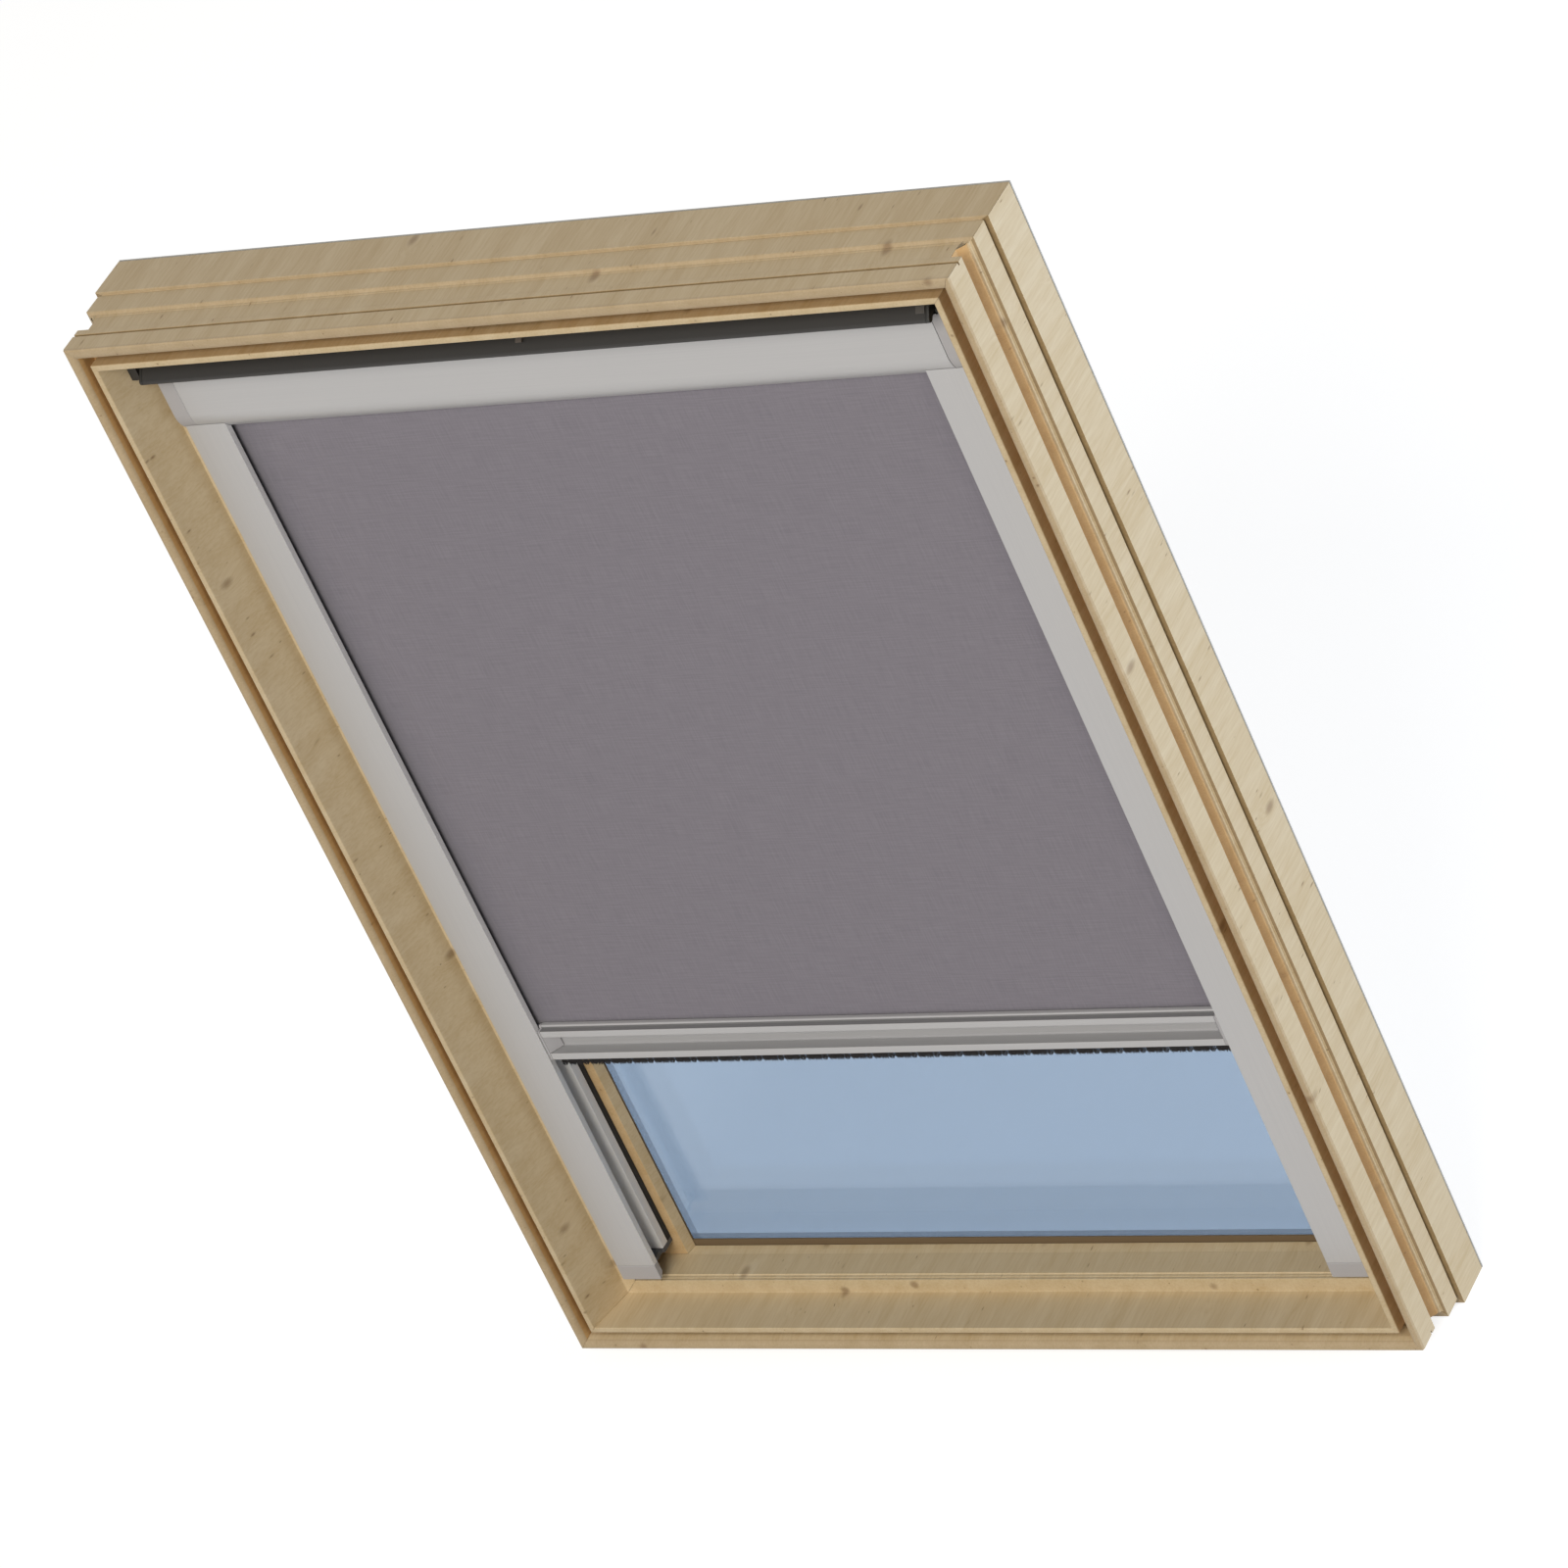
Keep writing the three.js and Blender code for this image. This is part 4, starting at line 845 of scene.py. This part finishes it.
@dataclass
class SashTimber:
    """The sash: four mitred members, its plates, its seal and its outer covers."""

    ease_mm: float = 0.35
    cover_ease_mm: float = 0.6
    flat_from_mm: float = 65.0
    outer_mm: float = 350.2
    outer_top_mm: float = 959.4
    sight_half_mm: float = 288.0
    sight_mm: Span = (48.0, 920.0)
    # how far a cover's lip is cut back at the sides, the head and the sill
    trim_mm: Triple = (7.4, 7.0, 9.4)

    def member(self, node: str, run: Run) -> None:
        """Replaces one member by a copy with eased edges, its outer faces and hidden flats in darker pine as
        painted shade.

        Args:
            node: the member's name.
            run: the axis that it runs along.
        """
        piece = Piece(f"{node}_eased", "sash", PINE, (node,), (GAP_SHADE_PINE,))
        shape = copy_of(node)
        for face in shape.faces:
            across, depth, up = in_millimetres(face.calc_center_median())
            if run is Run.UP:
                flat = face.normal.y < -SQUARE and depth > self.flat_from_mm
                in_painted_shade = flat or abs(across) > self.outer_mm
            else:
                in_painted_shade = up > self.outer_top_mm
            # painted shade on the faces in the gap and behind the rails
            face.material_index = piece.index_of(GAP_SHADE_PINE if in_painted_shade else PINE)
        ease(shape, self.ease_mm, partial(runs_along, run))
        piece.made_of(shape)

    def cover(self, node: str, run: Run) -> None:
        """Replaces one folded cover by a copy whose lip over the glass is shorter.

        Args:
            node: the cover's name.
            run: the axis that it runs along.
        """
        side, head, sill = self.trim_mm
        low, high = self.sight_mm
        shape = copy_of(node)
        for vert in shape.verts:
            place = in_millimetres(vert.co)
            if abs(place.x) < self.sight_half_mm and low < place.z < high:
                rise = head if place.z > MIDDLE_HEIGHT else -sill
                vert.co += Vector((math.copysign(side, place.x), 0, rise)) * MM
        ease(shape, self.cover_ease_mm, partial(runs_along, run))
        Piece(f"{node}_eased", "sash", ROOF_SHEET, (node,)).made_of(shape)

    def build(self) -> None:
        """Eases the members, makes the covers and dresses the rest."""
        runs = (("left", Run.UP), ("right", Run.UP), ("head", Run.ACROSS), ("sill", Run.ACROSS))
        for side, run in runs:
            self.member(f"sash_{side}", run)
        for side, run in runs:
            self.cover(f"sash_cover_{side}", run)
        dress(ZINC, "pivot_plate_left", "pivot_plate_right")
        dress(RUBBER, "sash_seal")


@dataclass
class Glazing:
    """The sealed double unit: two panes, their spacer and the gasket."""

    def build(self) -> None:
        """Dresses the panes and what holds them."""
        dress(GLASS, "glass_inner", "glass_outer")
        dress(TAN_RUBBER, "glazing_gasket")
        dress(SPACER_BAR, "glass_spacer")


@dataclass
class HeadBox:
    """The blind's head box: curved cover, back plate, moulded caps and brackets."""

    edge_mm: float = 0.3
    cap_outer_mm: float = 329.0
    cap_ease_mm: float = 1.2
    seam_at_mm: float = 315.3
    seam_mm: float = 0.3
    rim_degrees: float = 50.0

    def build(self) -> None:
        """Eases the cover's edges, rounds the caps' outer rims and opens a fine seam beside them."""
        eased_copies("sash", PROFILE_ACROSS, self.edge_mm, Run.ACROSS, "headbox_cover", "headbox_back")
        for side, sign in SIDES:
            node = f"headbox_cap_{side}"
            shape = copy_of(node)
            ease(shape, self.cap_ease_mm, partial(lies_at, self.cap_outer_mm * sign), 3, self.rim_degrees)
            ease(shape, self.seam_mm, partial(lies_at, self.seam_at_mm * sign), 1, self.rim_degrees)
            Piece(f"{node}_rounded", "sash", GREY_ABS, (node,)).made_of(shape)
        dress(ZINC, "headbox_bracket_left", "headbox_bracket_right")


@dataclass
class Rails:
    """The two side rails with their seals, caps, feet and clips."""

    edge_mm: float = 0.3
    cap_ease_mm: float = 0.8
    foot_top_mm: float = 65.3
    foot_mm: float = 4.0
    inner_mm: float = 292.9
    same_mm: float = 0.1
    lip_back_mm: float = 41.5
    lip_out_mm: float = 1.5
    slot_depths: Span = (37.7, 56.0)
    slot_reach_mm: float = 294.5
    web_mm: float = 319.0

    def widened(self, node: str) -> BMesh:
        """Copies a front part of a rail with its lip reaching a little further over the cloth.

        Args:
            node: the part's name.

        Returns:
            The copy.
        """
        shape = copy_of(node)
        for vert in shape.verts:
            place = in_millimetres(vert.co)
            if abs(abs(place.x) - self.inner_mm) < self.same_mm and place.y < self.lip_back_mm:
                vert.co.x -= math.copysign(self.lip_out_mm, place.x) * MM
        return shape

    def profile(self, side: str) -> None:
        """Replaces a rail by its copy with eased edges, painted light in near white on its slot faces and a painted
        highlight on its inner edge.

        Args:
            side: left or right.
        """
        node = f"rail_{side}"
        piece = Piece(f"{node}_eased", "sash", PROFILE_UP, (node,), (SLOT_PAINTED_LIGHT, EDGE_PAINTED_HIGHLIGHT))
        shape = self.widened(node)
        for face in shape.faces:
            across, depth, _ = in_millimetres(face.calc_center_median())
            reach = abs(across)
            inside = self.slot_depths[0] < depth < self.slot_depths[1]
            # painted light on the slot faces
            if inside and abs(face.normal.z) < FACING and self.slot_reach_mm < reach < self.web_mm:
                face.material_index = piece.index_of(SLOT_PAINTED_LIGHT)
            # painted highlight on the inner edge faces
            if abs(face.normal.x) > SQUARE and reach < self.inner_mm + self.same_mm:
                face.material_index = piece.index_of(EDGE_PAINTED_HIGHLIGHT)
        ease(shape, self.edge_mm, partial(runs_along, Run.UP))
        piece.made_of(shape)

    def fittings(self, side: str) -> None:
        """Replaces a rail's cap and clip by copies with rounded edges, and its foot by a thin plug.

        Args:
            side: left or right.
        """
        shape = self.widened(f"rail_cap_{side}")
        ease(shape, self.cap_ease_mm, partial(runs_along, Run.ACROSS))
        Piece(f"rail_cap_{side}_eased", "sash", GREY_ABS, (f"rail_cap_{side}",)).made_of(shape)
        eased_copies("sash", DARK_ABS, self.edge_mm, Run.UP, f"rail_clip_{side}")
        shape = copy_of(f"rail_foot_{side}")
        under = self.foot_top_mm - self.foot_mm
        for vert in shape.verts:
            vert.co.z = max(vert.co.z, under * MM)
        Piece(f"rail_foot_{side}_plug", "sash", SLATE_ABS, (f"rail_foot_{side}",)).made_of(shape)

    def build(self) -> None:
        """Eases the extruded profiles and the moulded ends."""
        for side, _ in SIDES:
            self.profile(side)
            self.fittings(side)
            dress(RUBBER, f"rail_seal_{side}")


@dataclass
class Cloth:
    """The blackout cloth: the hanging sheet and what is wound on the tube."""

    half_width_mm: float = 308.0
    depth_mm: float = 46.0
    thickness_mm: float = 0.5
    foot_mm: float = 302.6
    head_mm: float = 899.0
    steady_above_mm: float = 1003.0
    steps_across: int = 12
    steps_up: int = 96
    roll_start_mm: float = 8.45
    roll_pitch_mm: float = 0.5
    roll_turns: float = 2.0
    roll_steps: int = 96
    wound_mm: float = 0.3

    def laid_flat(self, steps_across: int, steps_along: int, length: float) -> BMesh:
        """Makes a flat cloth of the full width with its own map in metres.

        Args:
            steps_across: its faces across.
            steps_along: its faces along.
            length: its length in metres.

        Returns:
            The cloth, level and centred at the origin.
        """
        shape = bmesh.new()
        bmesh.ops.create_grid(shape, x_segments=steps_across, y_segments=steps_along, size=0.5)
        bmesh.ops.scale(shape, verts=shape.verts, vec=(self.half_width_mm * 2 * MM, length, 1))
        layer = shape.loops.layers.uv.new("UVMap")
        for face in shape.faces:
            for loop in face.loops:
                loop[layer].uv = loop.vert.co.xy
        return shape

    def sheet(self) -> None:
        """Builds the flat sheet, which stretches between the sash and the pull bar."""
        shape = self.laid_flat(self.steps_across, self.steps_up, (self.head_mm - self.foot_mm) * MM)
        bmesh.ops.rotate(shape, verts=shape.verts, cent=(0, 0, 0), matrix=Matrix.Rotation(math.pi / 2, 3, "X"))
        bmesh.ops.translate(shape, verts=shape.verts,
                            vec=point(0, self.depth_mm, (self.head_mm + self.foot_mm) / 2))
        bmesh.ops.recalc_face_normals(shape, faces=shape.faces)
        cloth = Piece("blackout_sheet", None, CLOTH, ("blind_fabric",), even=False,
                      thickness_mm=self.thickness_mm).made_of(shape)
        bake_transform(cloth)

    def roll(self) -> None:
        """Winds the cloth's upper end on the tube, with which it turns."""
        low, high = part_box("fabric_roll")
        middle = (low + high) / 2
        mean = (self.roll_start_mm + self.roll_pitch_mm * self.roll_turns / 2) * MM
        length = mean * self.roll_turns * 2 * math.pi
        shape = self.laid_flat(1, self.roll_steps, length)
        for vert in shape.verts:
            turned = (vert.co.y / length + 0.5) * self.roll_turns
            radius = (self.roll_start_mm + self.roll_pitch_mm * turned) * MM
            angle = turned * 2 * math.pi
            vert.co = Vector((vert.co.x, middle.y + radius * math.cos(angle), middle.z + radius * math.sin(angle)))
        bmesh.ops.recalc_face_normals(shape, faces=shape.faces)
        wound = Piece("blackout_wound", "roller", CLOTH, ("fabric_roll",), even=False,
                      thickness_mm=self.wound_mm).made_of(shape)

    def build(self) -> None:
        """Builds the sheet and the wound part, and dresses the tube and its plugs."""
        self.sheet()
        self.roll()
        dress(PROFILE_ACROSS, "roller_tube")
        dress(DARK_ABS, "roller_plug_left", "roller_plug_right")


@dataclass
class PullBar:
    """The blind's bottom bar: extruded profile, moulded ends and the draught brush.

    The hairs stand in a backing strip. One block of them is seeded and then repeated.
    """

    edge_mm: float = 0.25
    step_mm: Span = (280.3, 281.5)
    recess_mm: Span = (301.9, 303.4)
    recess_to_mm: float = 41.7
    shoulder_mm: float = 290.8
    end_ease_mm: float = 0.4
    brush_half_mm: float = 288.3
    brush_depth_mm: float = 46.0
    brush_top_mm: float = 275.0
    brush_foot_mm: float = 262.3
    backing_half_mm: float = 2.0
    backing_mm: Span = (274.3, 277.0)
    block_mm: float = 19.22
    hairs_in_block: int = 160
    hair_mm: float = 0.3
    tip_share: float = 0.8
    shorter_mm: float = 2.6
    lean_degrees: float = 3.2
    stray: Span = (0.1, 0.9)
    root_half_mm: float = 1.19
    seed: int = 7

    def brush(self) -> None:
        """Sets seeded hairs in one block and repeats the block along the bar."""
        chance = random.Random(self.seed)
        shape = bmesh.new()
        blocks = round(self.brush_half_mm * 2 / self.block_mm)
        pitch = self.brush_half_mm * 2 / blocks
        for i in range(self.hairs_in_block):
            length = (self.brush_top_mm - self.brush_foot_mm - self.shorter_mm * chance.random() ** 2) * MM
            hair = bmesh.ops.create_cone(shape, cap_ends=True, segments=3, depth=length,
                                         radius1=self.hair_mm * self.tip_share * MM, radius2=self.hair_mm * MM)
            lean = (Matrix.Rotation(math.radians(chance.gauss(0, self.lean_degrees)), 4, "X")
                    @ Matrix.Rotation(math.radians(chance.gauss(0, self.lean_degrees)), 4, "Y"))
            across = -self.brush_half_mm + pitch * (i + chance.uniform(*self.stray)) / self.hairs_in_block
            depth = self.brush_depth_mm + chance.uniform(-1, 1) * self.root_half_mm
            place = Matrix.Translation(point(across, depth, self.brush_top_mm))
            bmesh.ops.transform(shape, verts=hair["verts"],
                                matrix=place @ lean @ Matrix.Translation((0, 0, -length / 2)))
        block = shape.verts[:] + shape.edges[:] + shape.faces[:]
        for i in range(1, blocks):
            made = bmesh.ops.duplicate(shape, geom=block)
            bmesh.ops.translate(shape, verts=[g for g in made["geom"] if isinstance(g, BMVert)],
                                vec=(pitch * i * MM, 0, 0))
        foot, top = self.backing_mm
        backing = bmesh.ops.create_cube(shape, size=1)["verts"]
        bmesh.ops.scale(shape, verts=backing, vec=Vector((self.brush_half_mm * 2, self.backing_half_mm * 2,
                                                          top - foot)) * MM)
        bmesh.ops.translate(shape, verts=backing, vec=point(0, self.brush_depth_mm, (top + foot) / 2))
        Piece("draught_brush", "pull_bar", PILE, ("brush",), even=False).made_of(shape)

    def build(self) -> None:
        """Eases the bar and its ends, and sets the brush."""
        piece = Piece("bottom_bar_eased", "pull_bar", BAR_PROFILE, ("bottom_bar",), (BAR_STEP_SHADE, BAR_RECESS_SHADE))
        shape = copy_of("bottom_bar")
        for face in shape.faces:
            _, depth, up = in_millimetres(face.calc_center_median())
            # painted shade on the step and in the recess
            if face.normal.z > FACING and self.step_mm[0] < up < self.step_mm[1]:
                face.material_index = piece.index_of(BAR_STEP_SHADE)
            if depth < self.recess_to_mm and self.recess_mm[0] < up < self.recess_mm[1]:
                face.material_index = piece.index_of(BAR_RECESS_SHADE)
        ease(shape, self.edge_mm, partial(runs_along, Run.ACROSS))
        piece.made_of(shape)
        for side, sign in SIDES:
            node = f"bar_end_{side}"
            shape = copy_of(node)
            ease(shape, self.end_ease_mm, partial(lies_at, self.shoulder_mm * sign))
            Piece(f"{node}_eased", "pull_bar", GREY_ABS, (node,)).made_of(shape)
        self.brush()


@dataclass
class ControlBar:
    """The bar across the head that opens the window, its caps, blocks, latch nose, pad and flap."""

    end_mm: float = 330.4
    drawn_end_mm: float = 327.2
    cap_ease_mm: float = 1.0
    edge_mm: float = 0.35

    def build(self) -> None:
        """Eases the bar, rounds the ends of its caps and dresses the small parts."""
        eased_copies("control", DARK_ABS, self.edge_mm, Run.ACROSS, "control_bar")
        for side, sign in SIDES:
            node = f"control_cap_{side}"
            shape = copy_of(node)
            for vert in shape.verts:
                if abs(vert.co.x / MM - self.end_mm * sign) < SAME_MM:
                    vert.co.x = self.drawn_end_mm * sign * MM
            ease(shape, self.cap_ease_mm, partial(lies_at, self.drawn_end_mm * sign), segments=3)
            Piece(f"{node}_rounded", "control", BLACK_ABS, (node,)).made_of(shape)
        dress(BROWN_ABS, "latch_nose")
        dress(PAD_ABS, "bar_pad")
        dress(DARK_ABS, "pivot_block_left", "pivot_block_right", "vent_flap")


@dataclass(frozen=True)
class Lamp:
    """One soft square lamp that looks at the middle of the window."""

    name: str
    place: Triple
    side_m: float
    watts: float
    colour: str
    aim: Triple = (0.0, 0.0, 0.5)

    def hang(self) -> None:
        """Adds the lamp to the scene and turns it to the window."""
        data = bpy.data.lights.new(self.name, "AREA")
        data.size = self.side_m
        data.energy = self.watts
        data.color = linear(self.colour)[:3]
        lamp = placed(self.name, data)
        lamp.location = self.place
        lamp.rotation_euler = (Vector(self.aim) - Vector(self.place)).to_track_quat("-Z", "Y").to_euler()


@dataclass
class Studio:
    """Camera, pale floor, soft lamps and the white surround.

    The camera's axes point right, down and ahead in the picture.
    """

    focal_px: float = 8070.665582361219
    picture_px: float = 1600.0
    sensor_mm: float = 36.0
    clip_m: Span = (0.05, 60.0)
    eye_mm: Triple = (3040.019507567087, -3682.2316673226205 - MIDDLE_DEPTH, 3487.893218857029)
    axes: tuple[Triple, ...] = (
        (0.8437810622688385, 0.39192609097871534, -0.36664350282885716),
        (-0.036248412022833215, -0.639982204495801, -0.7675342536685367),
        (-0.5354620169370498, 0.6609211126441933, -0.5257981659143252))
    floor_half_m: float = 14.0
    floor_under_m: float = 0.0005
    floor_colour: str = "#B5B4B2"
    floor_lift: float = 0.8
    ambient: float = 0.24
    lamps: tuple[Lamp, ...] = (Lamp("side", (4.0, 1.35, 1.6), 2.6, 134.0, "#E4EFFF"),
                               Lamp("front", (1.3, -7.0, 5.2), 4.8, 480.0, "#FFF9EE"))

    def camera(self) -> None:
        """Sets the camera of the photograph."""
        lens = bpy.data.cameras.new("camera")
        lens.sensor_width = self.sensor_mm
        lens.lens = self.sensor_mm * self.focal_px / self.picture_px
        lens.clip_start, lens.clip_end = self.clip_m
        eye = placed("camera", lens)
        right, down, ahead = (Vector(axis) for axis in self.axes)
        turn = Matrix((right, -down, -ahead)).transposed().to_4x4()
        eye.matrix_world = Matrix.Translation(Vector(self.eye_mm) * MM) @ turn
        bpy.context.scene.camera = eye

    def seen_sharply(self, tree: NodeTree) -> NodeSocket:
        """Adds a switch for what the camera, a reflection or the glass shows.

        Args:
            tree: the node tree that gets it.

        Returns:
            The socket that is one for such rays and zero for the light that falls on the object.
        """
        ray = add_node(tree, "LightPath").outputs
        sharp = add_node(tree, "Math", None, {0: ray["Is Glossy Ray"], 1: ray["Is Transmission Ray"]},
                         operation="MAXIMUM")
        return add_node(tree, "Math", None, {0: ray["Is Camera Ray"], 1: sharp.outputs[0]},
                        operation="MAXIMUM").outputs[0]

    def floor(self) -> None:
        """Lays a pale floor that shows near white but keeps the object's shadow."""
        material = bpy.data.materials.new("pale_floor")
        material.use_nodes = True
        tree = material.node_tree
        tree.nodes.clear()
        plain = add_node(tree, "BsdfDiffuse", {"Color": linear(self.floor_colour)})
        lift = add_node(tree, "Math", {1: self.floor_lift}, {0: self.seen_sharply(tree)}, operation="MULTIPLY")
        glow = add_node(tree, "Emission", None, {"Strength": lift.outputs[0]})
        both = add_node(tree, "AddShader", None, {0: plain.outputs[0], 1: glow.outputs[0]})
        add_node(tree, "OutputMaterial", None, {"Surface": both.outputs[0]})
        shape = bmesh.new()
        bmesh.ops.create_grid(shape, x_segments=1, y_segments=1, size=self.floor_half_m)
        mesh = bpy.data.meshes.new("floor")
        shape.to_mesh(mesh)
        shape.free()
        mesh.materials.append(material)
        ground = placed("floor", mesh)
        ground.location.z = -self.floor_under_m

    def surround(self) -> None:
        """Lights evenly from all sides, and is white where it is seen or reflected."""
        world = bpy.data.worlds.new("surround")
        bpy.context.scene.world = world
        world.use_nodes = True
        tree = world.node_tree
        tree.nodes.clear()
        level = add_node(tree, "MapRange", {"To Min": self.ambient}, {"Value": self.seen_sharply(tree)})
        light = add_node(tree, "Background", None, {"Strength": level.outputs["Result"]})
        add_node(tree, "OutputWorld", None, {"Surface": light.outputs[0]})

    def build(self) -> None:
        """Sets the camera, the floor, the surround and the lamps."""
        self.camera()
        self.floor()
        self.surround()
        for lamp in self.lamps:
            lamp.hang()
        bpy.context.scene.view_settings.view_transform = "Standard"


def main() -> None:
    """Builds the studio and each sub-assembly in order."""
    logging.basicConfig(level=logging.INFO, format="%(message)s")
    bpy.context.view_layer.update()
    parts = [Studio(), FrameTimber(), SashTimber(), Glazing(), HeadBox(), Rails(), Cloth(), PullBar(),
             ControlBar()]
    for part in parts:
        log.info("building %s", type(part).__name__)
        part.build()


if __name__ == "__main__":
    main()
